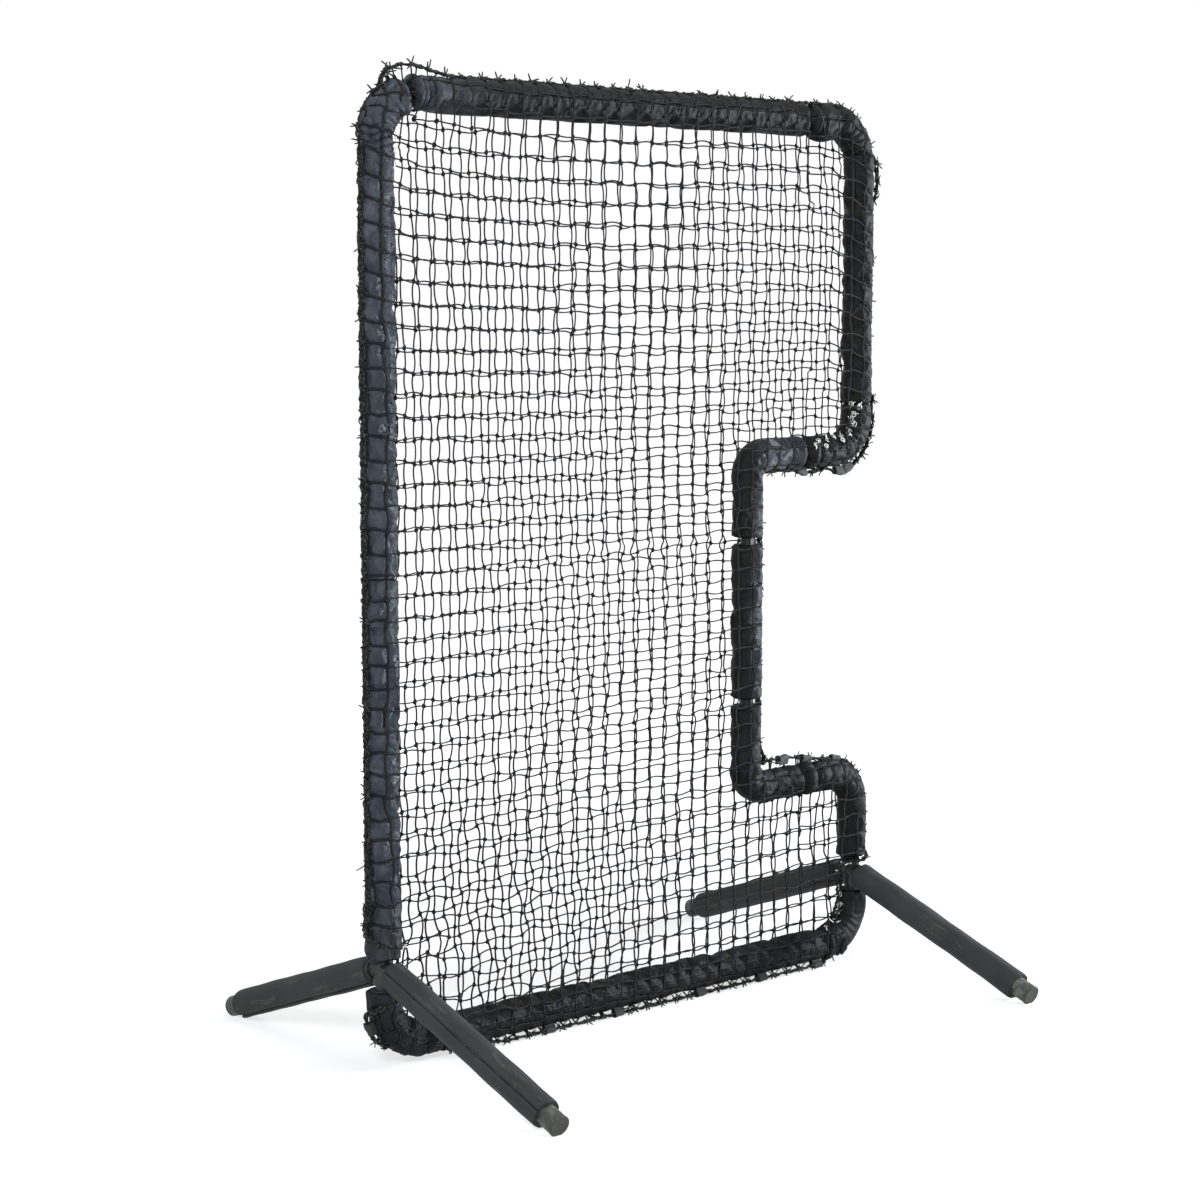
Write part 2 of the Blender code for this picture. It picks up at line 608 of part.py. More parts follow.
def border_outline():
    """The border cord's points in order, anticlockwise as seen from the front."""
    net = net_lattice()
    net.verts.index_update()
    shifts = border_shifts(net)
    start = next(vertex for vertex in net.verts if vertex.index in shifts)
    outline = []
    previous = None
    vertex = start
    while not outline or vertex is not start:
        outline.append(vertex.co + shifts[vertex.index])
        ahead = [edge for edge in vertex.link_edges if edge.is_boundary and edge is not previous]
        previous = ahead[0]
        vertex = previous.other_vert(vertex)
    net.free()
    area = 0.0
    for first, second in zip(outline, outline[1:] + outline[:1]):
        area += first.x * second.z - second.x * first.z
    return outline if area > 0 else outline[::-1]


def net_layer(name, side):
    """One layer of the net: the lattice, its rim drawn in to the border, and the legs' openings."""
    net = net_lattice()
    net.verts.index_update()
    shifts = border_shifts(net)
    edge_points = {vertex.index: vertex.co.copy() for vertex in net.verts if vertex.index in shifts}
    boundary = [edge for edge in net.edges if edge.is_boundary]
    rim = bmesh.ops.extrude_edge_only(net, edges=boundary)["geom"]
    rim_points = [item for item in rim if isinstance(item, bmesh.types.BMVert)]
    for vertex in net.verts:
        vertex.co.y = side * NET_PLANE
    for vertex in rim_points:
        flat = Vector((vertex.co.x, 0.0, vertex.co.z))
        match = min(edge_points, key=lambda index: (edge_points[index] - flat).length)
        vertex.co = edge_points[match] + shifts[match]
        vertex.co.y = side * (BORDER_RADIUS + STRAND / 2)
    rim_set = set(rim_points)
    for z, up in ((LOWER_ARM_HEIGHT + NET_PAST_TUBE, 1), (UPPER_ARM_HEIGHT - NET_PAST_TUBE, -1)):
        for vertex in net.verts:
            if vertex not in rim_set and near(vertex, NOTCH_X + NET_PAST_TUBE, z):
                vertex.co.x += NOTCH_STRAND_SHIFT
                vertex.co.z += up * NOTCH_STRAND_SHIFT
    _, _, leg_rows = net_stations()
    for x in (-HALF_WIDTH - NET_PAST_TUBE, HALF_WIDTH + NET_PAST_TUBE):
        crossing = []
        for edge in net.edges:
            ends = sorted(edge.verts, key=lambda vertex: vertex.co.z)
            if near(ends[0], x, leg_rows[0]) and near(ends[1], x, leg_rows[1]):
                crossing.append(edge)
        bmesh.ops.dissolve_edges(net, edges=crossing)
    bmesh.ops.recalc_face_normals(net, faces=net.faces)
    mesh = bpy.data.meshes.new(name)
    net.to_mesh(mesh)
    net.free()
    layer = bpy.data.objects.new(name, mesh)
    strands = layer.modifiers.new("strands", "WIREFRAME")
    strands.thickness = STRAND
    strands.use_boundary = True
    strands.use_even_offset = True
    strands.use_replace = True
    place(layer, TWINE, smooth=False)


def closure_tab(name, near_x, near_z, outline):
    """A tab folded round the border cord, at the point of the border nearest the one given."""
    target = Vector((near_x, 0.0, near_z))
    spare = TAB_LENGTH / 2 + STRAND / 2 + TAB_CLEAR_OF_STRAND
    best = None
    for first, second in zip(outline, outline[1:] + outline[:1]):
        run = second - first
        if run.length > 2 * spare:
            along = run.normalized()
            way = min(max((target - first).dot(along), spare), run.length - spare)
            point = first + along * way
            distance = (target - point).length
            if best is None or distance < best[0]:
                best = (distance, point, along)
    _, point, along = best
    outward = Vector((along.z, 0.0, -along.x))
    inner_end = BORDER_RADIUS + FIT
    outer_end = inner_end + TAB_WALL
    inner = TAB_HALF_WIDTH
    outer = TAB_HALF_WIDTH + TAB_WALL
    shape = [
        (-TAB_REACH, -outer), (outer_end - TAB_FOLD, -outer), (outer_end, TAB_FOLD - outer),
        (outer_end, outer - TAB_FOLD), (outer_end - TAB_FOLD, outer), (-TAB_REACH, outer),
        (-TAB_REACH, inner), (inner_end - TAB_FOLD, inner), (inner_end, inner - TAB_FOLD),
        (inner_end, TAB_FOLD - inner), (inner_end - TAB_FOLD, -inner), (-TAB_REACH, -inner),
    ]
    tab = extruded(name, shape, TAB_LENGTH)
    across = Vector((0.0, 1.0, 0.0))
    basis = Matrix((outward, across, outward.cross(across))).transposed()
    tab.matrix_world = Matrix.Translation(point) @ basis.to_4x4()
    place(tab, STRAP)


def border():
    """The border cord all round the net, and the tabs that close the net over it."""
    outline = border_outline()
    place(bent_rod("border_cord", outline, BORDER_RADIUS, sides=6, closed=True), TWINE)
    bottom = BOTTOM_RAIL_HEIGHT - BORDER_OFFSET
    lower_arm = LOWER_ARM_HEIGHT + BORDER_OFFSET
    upper_arm = UPPER_ARM_HEIGHT - BORDER_OFFSET
    notch = NOTCH_X + BORDER_OFFSET
    spots = []
    for from_left in BOTTOM_TABS_FROM_LEFT:
        spots.append(("bottom_tab", from_left - HALF_WIDTH, bottom))
    for from_right in BOTTOM_TABS_FROM_RIGHT:
        spots.append(("bottom_tab", HALF_WIDTH - from_right, bottom))
    spots.append(("corner_tab", -HALF_WIDTH - BORDER_OFFSET, BOTTOM_RAIL_HEIGHT + CORNER_TAB_HEIGHT))
    for from_right in LOWER_ARM_TABS:
        spots.append(("lower_arm_tab", HALF_WIDTH - from_right, lower_arm))
    for above_arm in NOTCH_TABS:
        spots.append(("notch_tab", notch, LOWER_ARM_HEIGHT + above_arm))
    for from_right in UPPER_ARM_TABS:
        spots.append(("upper_arm_tab", HALF_WIDTH - from_right, upper_arm))
    counts = {}
    for group, x, z in spots:
        counts[group] = counts.get(group, 0) + 1
        closure_tab(f"{group}_{counts[group]}", x, z, outline)


frame_tubes()
padding_sleeves()
leg_socket("left_leg_socket", -HALF_WIDTH)
leg_socket("right_leg_socket", HALF_WIDTH)
legs()
net_layer("net_front", -1)
net_layer("net_back", 1)
border()
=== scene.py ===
"""Dresses the c-shaped softball screen: its padding, net, border cord, closure tabs and slip-on legs."""
import math

import bpy
import numpy as np
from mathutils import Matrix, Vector
from mathutils.kdtree import KDTree


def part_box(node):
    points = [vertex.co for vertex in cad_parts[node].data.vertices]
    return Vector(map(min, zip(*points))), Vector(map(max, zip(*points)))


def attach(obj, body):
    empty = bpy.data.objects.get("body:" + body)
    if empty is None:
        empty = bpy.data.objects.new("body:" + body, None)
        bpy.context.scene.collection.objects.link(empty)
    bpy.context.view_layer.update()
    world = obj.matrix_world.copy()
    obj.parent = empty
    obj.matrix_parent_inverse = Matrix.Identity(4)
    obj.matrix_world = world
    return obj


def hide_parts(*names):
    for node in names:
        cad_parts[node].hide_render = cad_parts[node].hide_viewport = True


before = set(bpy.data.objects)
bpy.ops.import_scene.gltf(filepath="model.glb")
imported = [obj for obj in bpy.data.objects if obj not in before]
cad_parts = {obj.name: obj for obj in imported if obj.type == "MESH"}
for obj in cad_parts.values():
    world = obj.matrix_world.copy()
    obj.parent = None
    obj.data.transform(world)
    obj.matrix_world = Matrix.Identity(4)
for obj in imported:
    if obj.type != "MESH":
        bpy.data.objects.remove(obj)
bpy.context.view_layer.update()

# Camera, as the photograph was taken: from the screen's front left, at eye height, with a long lens
camera_lens = bpy.data.cameras.new("camera")
camera_lens.lens = 76.43
camera_lens.sensor_width = 36.0
camera = bpy.data.objects.new("camera", camera_lens)
camera.location = (-3.9711, -4.3895, 1.6672)
camera.rotation_euler = (math.radians(83.394), 0.0, math.radians(-41.310))
bpy.context.scene.collection.objects.link(camera)
bpy.context.scene.camera = camera
bpy.context.scene.view_settings.view_transform = "Standard"


def colour(code):
    """An sRGB hex colour as the linear values that a shader takes."""
    shares = [int(code[place:place + 2], 16) / 255 for place in (1, 3, 5)]
    linear = [share / 12.92 if share <= 0.04045 else ((share + 0.055) / 1.055) ** 2.4 for share in shares]
    return (*linear, 1.0)


def feed(tree, node, inputs):
    """Fills a node's inputs with numbers, hex colours, sockets, or nodes by their first live output."""
    for name, value in inputs.items():
        if isinstance(value, bpy.types.Node):
            value = next(output for output in value.outputs if output.enabled)
        if isinstance(value, bpy.types.NodeSocket):
            tree.links.new(value, node.inputs[name])
        else:
            node.inputs[name].default_value = colour(value) if isinstance(value, str) else value


def add_node(tree, kind, inputs=None, **settings):
    """Adds one node with its settings and feeds its inputs."""
    node = tree.nodes.new("ShaderNode" + kind)
    for name, value in settings.items():
        setattr(node, name, value)
    feed(tree, node, inputs or {})
    return node


# Studio: a plain pale floor that runs on into white, with soft lamps at the front left, right and overhead.
# The floor and the surroundings look white, and light the object at a plain level. Near the object the floor
# glows less of itself, so that the object's shadow shows on it.
FLOOR_SIZE = 60.0
SURROUNDINGS_LEVEL = 0.29
FLOOR_NEAR = 1.2
FLOOR_FAR = 4.0
FLOOR_GLOW_NEAR = 0.65
FLOOR_GLOW_FAR = 0.90
FLOOR_SHADE_SHARE = 0.45
FLOOR_PALENESS = 0.80


def shown_white(tree):
    """1 where a surface is seen straight, in gloss or through glass, and 0 where it only lights others."""
    ray = add_node(tree, "LightPath")
    straight = add_node(tree, "Math", {
        0: ray.outputs["Is Camera Ray"], 1: ray.outputs["Is Glossy Ray"]}, operation="MAXIMUM")
    return add_node(tree, "Math", {0: straight, 1: ray.outputs["Is Transmission Ray"]}, operation="MAXIMUM")


floor_paint = bpy.data.materials.new("studio_floor")
floor_paint.use_nodes = True
tree = floor_paint.node_tree
tree.nodes.clear()
seen = shown_white(tree)
where = add_node(tree, "TexCoord")
away = add_node(tree, "VectorMath", {0: where.outputs["Object"]}, operation="LENGTH")
floor_glow = add_node(tree, "MapRange", {
    "Value": away, "From Min": FLOOR_NEAR, "From Max": FLOOR_FAR, "To Min": FLOOR_GLOW_NEAR,
    "To Max": FLOOR_GLOW_FAR}, interpolation_type="SMOOTHSTEP")
glow = add_node(tree, "Math", {0: seen, 1: floor_glow}, operation="MULTIPLY")
paint = add_node(tree, "Mix", {
    0: seen, 6: (*[FLOOR_PALENESS] * 3, 1.0), 7: (*[FLOOR_SHADE_SHARE] * 3, 1.0)}, data_type="RGBA")
lit = add_node(tree, "BsdfDiffuse", {"Color": paint})
light = add_node(tree, "Emission", {"Strength": glow})
both = add_node(tree, "AddShader", {0: lit, 1: light})
add_node(tree, "OutputMaterial", {"Surface": both})

bpy.ops.mesh.primitive_plane_add(size=FLOOR_SIZE)
floor = bpy.context.object
floor.name = "studio_floor"
floor.data.materials.append(floor_paint)

surroundings = bpy.data.worlds.new("surroundings")
bpy.context.scene.world = surroundings
surroundings.use_nodes = True
tree = surroundings.node_tree
tree.nodes.clear()
level = add_node(tree, "MapRange", {"Value": shown_white(tree), "To Min": SURROUNDINGS_LEVEL, "To Max": 1.0})
sky = add_node(tree, "Background", {"Color": (1.0, 1.0, 1.0, 1.0), "Strength": level})
add_node(tree, "OutputWorld", {"Surface": sky})


def soft_lamp(name, place, target, size, watts, tint):
    """A square lamp that faces a point of the screen."""
    lamp = bpy.data.lights.new(name, "AREA")
    lamp.color = tint
    lamp.shape = "SQUARE"
    lamp.size = size
    lamp.energy = watts
    holder = bpy.data.objects.new(name, lamp)
    holder.location = place
    holder.rotation_euler = (Vector(target) - Vector(place)).to_track_quat("-Z", "Y").to_euler()
    bpy.context.scene.collection.objects.link(holder)


soft_lamp("front_left_lamp", (-4.4, -3.4, 3.3), (-0.2, 0.0, 1.0), 1.2, 270.0, (0.92, 0.96, 1.0))
soft_lamp("right_lamp", (4.5, -2.2, 1.4), (0.0, 0.0, 1.1), 1.0, 380.0, (0.88, 0.93, 1.0))
soft_lamp("top_lamp", (0.0, -0.8, 4.6), (0.0, 0.0, 1.0), 2.5, 70.0, (1.0, 1.0, 1.0))


# Frame tubes and leg sockets: steel tube of 35 mm, bent cold and slipped together, with collars welded to
# its two lower joints. It was sprayed dark enamel, which shines softly and has rubbed thin in places.
SCUFF_SIZE = 0.018
ORANGE_PEEL = 0.0025


def new_material(name):
    """A new material, its node tree, its shader, and the places on the object that patterns follow."""
    finish = bpy.data.materials.new(name)
    finish.use_nodes = True
    tree = finish.node_tree
    return finish, tree, tree.nodes["Principled BSDF"], add_node(tree, "TexCoord").outputs["Object"]


def mottled(tree, pattern, low, high, start, end, most=1.0):
    """A tone that goes from the start to the end colour as the pattern goes from low to high."""
    share = add_node(tree, "MapRange", {"Value": pattern, "From Min": low, "From Max": high, "To Max": most})
    return add_node(tree, "Mix", {0: share, 6: start, 7: end}, data_type="RGBA")


enamelled_steel, tree, shader, where = new_material("enamelled_steel")
scuffs = add_node(tree, "TexNoise", {
    "Vector": where, "Scale": 1 / SCUFF_SIZE, "Detail": 6.0, "Roughness": 0.65})
peel = add_node(tree, "TexNoise", {"Vector": where, "Scale": 1 / ORANGE_PEEL, "Detail": 2.0})
feed(tree, shader, {
    "Base Color": mottled(tree, scuffs, 0.52, 0.74, "#0e0f0f", "#222422"),
    "Roughness": add_node(tree, "MapRange", {"Value": scuffs, "To Min": 0.34, "To Max": 0.62}),
    "Normal": add_node(tree, "Bump", {"Height": peel, "Strength": 0.25, "Distance": 0.0002})})

for name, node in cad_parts.items():
    if name.endswith("_tube") and "leg" not in name or name.endswith("_socket"):
        node.material_slots[0].material = enamelled_steel

# Padding: split foam pipe in a cover of vinyl-coated polyester, pulled over each length of tube. The cover
# laps over itself along a sewn edge and is drawn in at each cuff, and the net round it leaves it quilted.
# It follows the frame's corners, given in X and Z from the frame's middle and the floor, with the bend there.
HALF_WIDTH = 0.743
FRAME_CORNERS = [
    (-HALF_WIDTH, 0.054, 0.100), (-HALF_WIDTH, 2.115, 0.100), (HALF_WIDTH, 2.115, 0.100),
    (HALF_WIDTH, 1.304, 0.085), (0.363, 1.304, 0.050), (0.363, 0.490, 0.050), (HALF_WIDTH, 0.490, 0.085),
    (HALF_WIDTH, 0.054, 0.100)]
LEFT_POST, TOP_RAIL, RIGHT_POST, UPPER_ARM, NOTCH_POST, LOWER_ARM, RIGHT_FOOT, BOTTOM_RAIL = range(8)
TUBE_RADIUS = 0.01745
PADDING_RADIUS = 0.0349
CUFF_LENGTH = 0.009
CUFF_SHRINK = 0.14
RING_SPACING = 0.0035
SIDES_ROUND = 52
BEND_CREASES = 0.019
# Swells of the cover: height, size, number of waves and seed
cover_swells = [(0.0009, 0.16, 5, 11), (0.0006, 0.045, 7, 12)]


def unit(vectors):
    """The vectors at a length of 1."""
    return vectors / np.maximum(np.linalg.norm(vectors, axis=-1, keepdims=True), 1e-9)


def frame_line(corners):
    """The centre line in parts: way along it, length, start, heading, next heading and bend radius."""
    parts = []
    way = 0.0
    for index, (x, z, radius) in enumerate(corners):
        next_x, next_z, next_radius = corners[(index + 1) % len(corners)]
        after_x, after_z, _ = corners[(index + 2) % len(corners)]
        ahead = unit(np.array((next_x - x, next_z - z)))
        turn = unit(np.array((after_x - next_x, after_z - next_z)))
        start = np.array((x, z)) + ahead * radius
        end = np.array((next_x, next_z)) - ahead * next_radius
        length = float(np.linalg.norm(end - start))
        parts.append((way, length, start, ahead, turn, 0.0))
        way += length
        bend = next_radius * math.pi / 2
        parts.append((way, bend, end, ahead, turn, next_radius))
        way += bend
    return parts, way


line_parts, line_length = frame_line(FRAME_CORNERS)


def on_run(run, past_corner):
    """The way along the line to a point of a straight run, by its distance from the run's first corner."""
    return line_parts[2 * run][0] + past_corner - FRAME_CORNERS[run][2]


def line_at(ways):
    """The centre line's points at these ways, and the direction away from the net there, in X and Z."""
    ways = np.mod(ways, line_length)
    centre = np.zeros((len(ways), 2))
    heading = np.zeros((len(ways), 2))
    for begin, length, start, ahead, turn, radius in line_parts:
        here = (ways >= begin) & (ways <= begin + length)
        along = (ways[here] - begin)[:, None]
        if radius:
            angle = along / radius
            centre[here] = start + radius * (ahead * np.sin(angle) + turn * (1 - np.cos(angle)))
            heading[here] = ahead * np.cos(angle) + turn * np.sin(angle)
        else:
            centre[here] = start + ahead * along
            heading[here] = ahead
    outward = np.stack((-heading[:, 1], heading[:, 0]), axis=1)
    return centre, outward


def round_line(ways, angle, reach):
    """Places round the centre line by angle and reach, with 0 outward and a quarter turn to the front."""
    centre, outward = line_at(np.ravel(ways))
    flat = centre + outward * np.ravel(reach * np.cos(angle))[:, None]
    return np.stack((flat[:, 0], -np.ravel(reach * np.sin(angle)), flat[:, 1]), axis=1)


def nearest_on_line(points):
    """The way of the nearest point of the centre line, and how far outside the line each point is."""
    best = np.full(len(points), np.inf)
    way = np.zeros(len(points))
    out = np.zeros(len(points))
    for begin, length, start, ahead, turn, radius in line_parts:
        offset = points - start
        if radius:
            angle = np.arctan2(offset @ ahead, radius - offset @ turn)
            along = np.clip(angle, 0, math.pi / 2) * radius
        else:
            along = np.clip(offset @ ahead, 0, length)
        centre, outward = line_at(begin + along)
        gap = points - centre
        distance = np.linalg.norm(gap, axis=1)
        closer = distance < best
        best[closer] = distance[closer]
        way[closer] = begin + along[closer]
        out[closer] = (gap * outward).sum(axis=1)[closer]
    return way, out


def waves(way, angle, size, terms, seed):
    """Smooth uneven swells over the padding, from -1 to 1, each about as long as the size in metres."""
    rng = np.random.default_rng(seed)
    total = 0.0
    for _ in range(terms):
        heading = rng.uniform(0, math.pi)
        along = math.cos(heading) * 2 * math.pi / size
        around = round(math.sin(heading) * 2 * math.pi / size * PADDING_RADIUS)
        total = total + np.sin(along * way + around * angle + rng.uniform(0, 2 * math.pi))
    return total / terms


def hump(distance, half_width):
    """A smooth hump of height 1, gone at the half width."""
    share = np.clip(1 - (distance / half_width) ** 2, 0, 1)
    return share * share


def eased(share):
    """A share held between 0 and 1, with soft ends."""
    share = np.clip(share, 0, 1)
    return share * share * (3 - 2 * share)


# The seams: run, distance past its corner, and half the gap there. The covers meet at most seams, and leave
# bare tube in the notch, and at the leg sockets, where the gaps are 72 and 87 mm long.
SEAM_HALF = 0.0005
NOTCH_GAP_HALF = 0.0085
seams = [(on_run(run, past_corner), half) for run, past_corner, half in (
    (LEFT_POST, 0.164, 0.036), (LEFT_POST, 1.031, SEAM_HALF), (TOP_RAIL, 0.108, SEAM_HALF),
    (TOP_RAIL, 1.320, SEAM_HALF), (RIGHT_POST, 0.692, SEAM_HALF), (UPPER_ARM, 0.158, SEAM_HALF),
    (NOTCH_POST, 0.2045, NOTCH_GAP_HALF), (NOTCH_POST, 0.599, NOTCH_GAP_HALF), (LOWER_ARM, 0.224, SEAM_HALF),
    (RIGHT_FOOT, 0.2645, 0.0435), (BOTTOM_RAIL, 0.108, SEAM_HALF), (BOTTOM_RAIL, 1.339, SEAM_HALF))]
GATHERS_START = on_run(LEFT_POST, 1.926)
GATHERS_END = on_run(LEFT_POST, 1.996)
GATHER_PITCH = 0.0150
GATHER_DEPTH = 0.0085
# Loose folds of cover: run, distance past its corner, half length, direction round the tube in degrees, half
# spread in degrees, and height
folds = [
    (TOP_RAIL, 0.078, 0.019, 90, 330, -0.0165), (TOP_RAIL, 0.058, 0.018, 100, 200, 0.0050),
    (TOP_RAIL, 0.102, 0.016, 100, 200, 0.0045), (TOP_RAIL, 0.124, 0.010, 90, 90, -0.0060),
    (TOP_RAIL, 0.146, 0.014, 95, 80, 0.0045), (TOP_RAIL, 1.289, 0.019, 90, 330, -0.0165),
    (TOP_RAIL, 1.270, 0.014, 100, 200, 0.0030), (TOP_RAIL, 1.310, 0.016, 95, 90, 0.0060),
    (TOP_RAIL, 1.332, 0.010, 95, 70, -0.0050), (TOP_RAIL, 1.345, 0.052, 175, 85, 0.0125),
    (TOP_RAIL, 1.390, 0.016, 60, 90, -0.0060), (TOP_RAIL, 1.418, 0.018, 80, 100, 0.0060),
    (RIGHT_POST, 0.070, 0.014, 100, 90, -0.0060), (UPPER_ARM, 0.198, 0.020, 90, 330, -0.0165),
    (UPPER_ARM, 0.174, 0.018, 100, 200, 0.0045), (UPPER_ARM, 0.222, 0.018, 100, 200, 0.0050),
    (UPPER_ARM, 0.256, 0.012, 100, 90, -0.0050), (UPPER_ARM, 0.118, 0.024, 110, 80, 0.0055),
    (LOWER_ARM, 0.180, 0.018, 90, 330, -0.0155), (LOWER_ARM, 0.204, 0.020, 60, 200, 0.0055),
    (LOWER_ARM, 0.158, 0.018, 90, 120, 0.0030), (LOWER_ARM, 0.250, 0.022, 70, 80, 0.0045),
    (NOTCH_POST, 0.190, 0.018, 90, 90, 0.0040), (NOTCH_POST, 0.230, 0.018, 90, 90, 0.0035),
    (BOTTOM_RAIL, 1.430, 0.040, 130, 90, 0.0070), (BOTTOM_RAIL, 1.372, 0.018, 100, 80, 0.0060),
    (BOTTOM_RAIL, 1.339, 0.012, 100, 110, -0.0080), (BOTTOM_RAIL, 1.300, 0.022, 100, 70, 0.0045),
    (BOTTOM_RAIL, 0.070, 0.030, 150, 80, 0.0060), (BOTTOM_RAIL, 0.108, 0.010, 120, 120, -0.0080)]


def from_seam(way):
    """How far each way is from the nearest end of a length of padding, and below zero in a gap."""
    nearest = np.full(np.shape(way), np.inf)
    for middle, half in seams:
        apart = np.abs(np.mod(way - middle + line_length / 2, line_length) - line_length / 2)
        nearest = np.minimum(nearest, apart - half)
    return nearest


def padding_radius(way, angle):
    """How far the cover is from the tube's centre line, before the net dents it. Angle 0 faces outward."""
    radius = PADDING_RADIUS
    for height, size, terms, seed in cover_swells:
        radius = radius + height * waves(way, angle, size, terms, seed)
    for index, (begin, length, _, ahead, turn, bend) in enumerate(line_parts):
        if bend:
            inner = math.pi if ahead[1] * turn[0] - ahead[0] * turn[1] > 0 else 0.0
            pinch = hump(way - begin - length / 2, length / 2 + 0.010)
            facing = np.clip(0.5 + 0.5 * np.cos(angle - inner), 0, 1) ** 1.5
            creases = np.sin((way - begin) * 2 * math.pi / BEND_CREASES + 1.3 * np.sin(2 * angle + index))
            radius = radius + pinch * facing * (0.0012 + 0.0023 * creases)
    gathered = hump(way - (GATHERS_START + GATHERS_END) / 2, (GATHERS_END - GATHERS_START) / 2 + 0.012)
    wander = 0.9 * np.sin(2 * angle + 0.6) + 0.6 * np.sin(3 * angle + 30 * way)
    pleats = 1 - np.abs(np.sin((way - GATHERS_START) * math.pi / GATHER_PITCH + wander))
    radius = radius - gathered * GATHER_DEPTH * pleats ** 2.4
    for run, past_corner, half_length, facing, spread, height in folds:
        turned = np.abs(np.mod(angle - math.radians(facing) + math.pi, 2 * math.pi) - math.pi)
        along = hump(way - on_run(run, past_corner), half_length)
        radius = radius + height * along * hump(turned, math.radians(spread))
    inward = np.clip(1 - np.maximum(from_seam(way), 0) / CUFF_LENGTH, 0, 1)
    puckers = 0.0006 * np.sin(17 * angle + 40 * way) * hump(from_seam(way), 0.024)
    return radius * (1 - CUFF_SHRINK * inward * inward) + puckers


# The net's own layout is needed here, because its twine dents the padding. It is knotted twine of 3.6 mm in
# square meshes of 47.6 mm. Each layer lies flat, goes round the padding's outer half and ends at the border.
MESH = 0.0476
TWINE_RADIUS = 0.0018
WRAP_RADIUS = 0.0362
WRAP_LENGTH = WRAP_RADIUS * math.radians(82)
BORDER_OUT = 0.0400
BORDER_GAP = 0.0085
NET_SINK = 0.0003
LEAVES_WITHIN = 0.03
LEAVES_BY = 0.0016
HANG = 0.003
FREE_FROM = 0.16
NET_MARGIN = WRAP_LENGTH + BORDER_GAP
KNOT_TURN = math.radians(12)
NET_HALF_WIDTH = 0.82
NET_TOP = 2.20
NET_BOTTOM = -0.04
CUT_SAMPLES = 17
# Below the legs' stubs the net's edge passes inside the posts: where it starts to and where it ends
TUCK_RAMP = 0.040
TUCK_OUT = -0.034
TUCK_DEPTH = 0.010
TUCK_LENGTH = 0.060
CORNER_STRETCH = 0.3
tucked_stretches = [
    (on_run(LEFT_POST, 0.104), on_run(LEFT_POST, 0.231)),
    (on_run(RIGHT_FOOT, 0.228), on_run(BOTTOM_RAIL, 0.060))]
# How the layers' meshes lie as seen: first column and its pitch, one row and its rise across the screen
net_layers = {
    "net_front": {
        "side": -1, "column": -0.7490, "column_pitch": MESH, "row": 2.0930, "tilt": 0.0, "seed": 3},
    "net_back": {
        "side": 1, "column": -0.0165, "column_pitch": 0.0467, "row": 1.7614, "tilt": 0.020, "seed": 8}}
# Outer corners that the net is drawn round: corner, and which way is out in X and Z
net_corners = [(0, -1, -1), (1, -1, 1), (2, 1, 1), (3, 1, -1), (6, 1, 1), (7, 1, -1)]

# Where the border stands off the padding or passes behind it: how much further out it lies, how far it turns
# to the back, and four distances past corners. It comes out from the first to the second, and goes back from
# the third to the fourth.
border_strays = [
    (0.020, 0.0, (TOP_RAIL, 0.030), (TOP_RAIL, 0.055), (TOP_RAIL, 0.075), (TOP_RAIL, 0.220)),
    (0.010, -0.45, (BOTTOM_RAIL, 0.085), (BOTTOM_RAIL, 0.135), (BOTTOM_RAIL, 1.140), (BOTTOM_RAIL, 1.240)),
    (-0.001, 0.9, (LEFT_POST, 1.960), (LEFT_POST, 1.990), (TOP_RAIL, 0.008), (TOP_RAIL, 0.032)),
    (0.0, 1.2, (BOTTOM_RAIL, 1.310), (BOTTOM_RAIL, 1.350), (LEFT_POST, -0.010), (LEFT_POST, 0.025)),
    (0.009, 0.0, (LEFT_POST, 0.020), (LEFT_POST, 0.045), (LEFT_POST, 0.080), (LEFT_POST, 0.105)),
    (0.008, 0.0, (LEFT_POST, 0.235), (LEFT_POST, 0.265), (LEFT_POST, 0.290), (LEFT_POST, 0.350)),
    (0.025, 0.0, (RIGHT_POST, 0.075), (RIGHT_POST, 0.105), (RIGHT_POST, 0.165), (RIGHT_POST, 0.210)),
    (0.008, 0.0, (RIGHT_POST, 0.280), (RIGHT_POST, 0.330), (RIGHT_POST, 0.350), (RIGHT_POST, 0.400)),
    (0.016, 0.0, (RIGHT_POST, 0.640), (RIGHT_POST, 0.690), (UPPER_ARM, 0.060), (UPPER_ARM, 0.110)),
    (0.007, 0.0, (UPPER_ARM, 0.115), (UPPER_ARM, 0.150), (UPPER_ARM, 0.180), (UPPER_ARM, 0.240)),
    (0.019, 0.0, (NOTCH_POST, 0.690), (NOTCH_POST, 0.750), (LOWER_ARM, 0.130), (LOWER_ARM, 0.300))]


def from_corner(way):
    """Ways along, counted below zero on the stretch before the line's start, round the bottom left corner."""
    return np.mod(np.asarray(way) + CORNER_STRETCH, line_length) - CORNER_STRETCH


def border_lie(way):
    """How far from the centre line the border lies at these ways, and how far it turns to the back."""
    way = from_corner(way)
    reach = np.full(np.shape(way), BORDER_OUT)
    behind = np.zeros(np.shape(way))
    for further, turn, *stops in border_strays:
        begin, full_from, full_to, end = (on_run(*stop) for stop in stops)
        if begin > end:
            begin, full_from = begin - line_length, full_from - line_length
        share = eased(np.minimum((way - begin) / (full_from - begin), (end - way) / (end - full_to)))
        reach = reach + further * share
        behind = behind + turn * share
    return reach, behind


def tucked(way):
    """How far the net's edge is tucked to the inside of the frame at these ways, from 0 to 1."""
    way = from_corner(way)
    share = np.zeros(np.shape(way))
    for begin, end in tucked_stretches:
        into = np.minimum(way - begin, end - way)
        share = np.maximum(share, 0.5 + into / TUCK_RAMP)
    return eased(share)


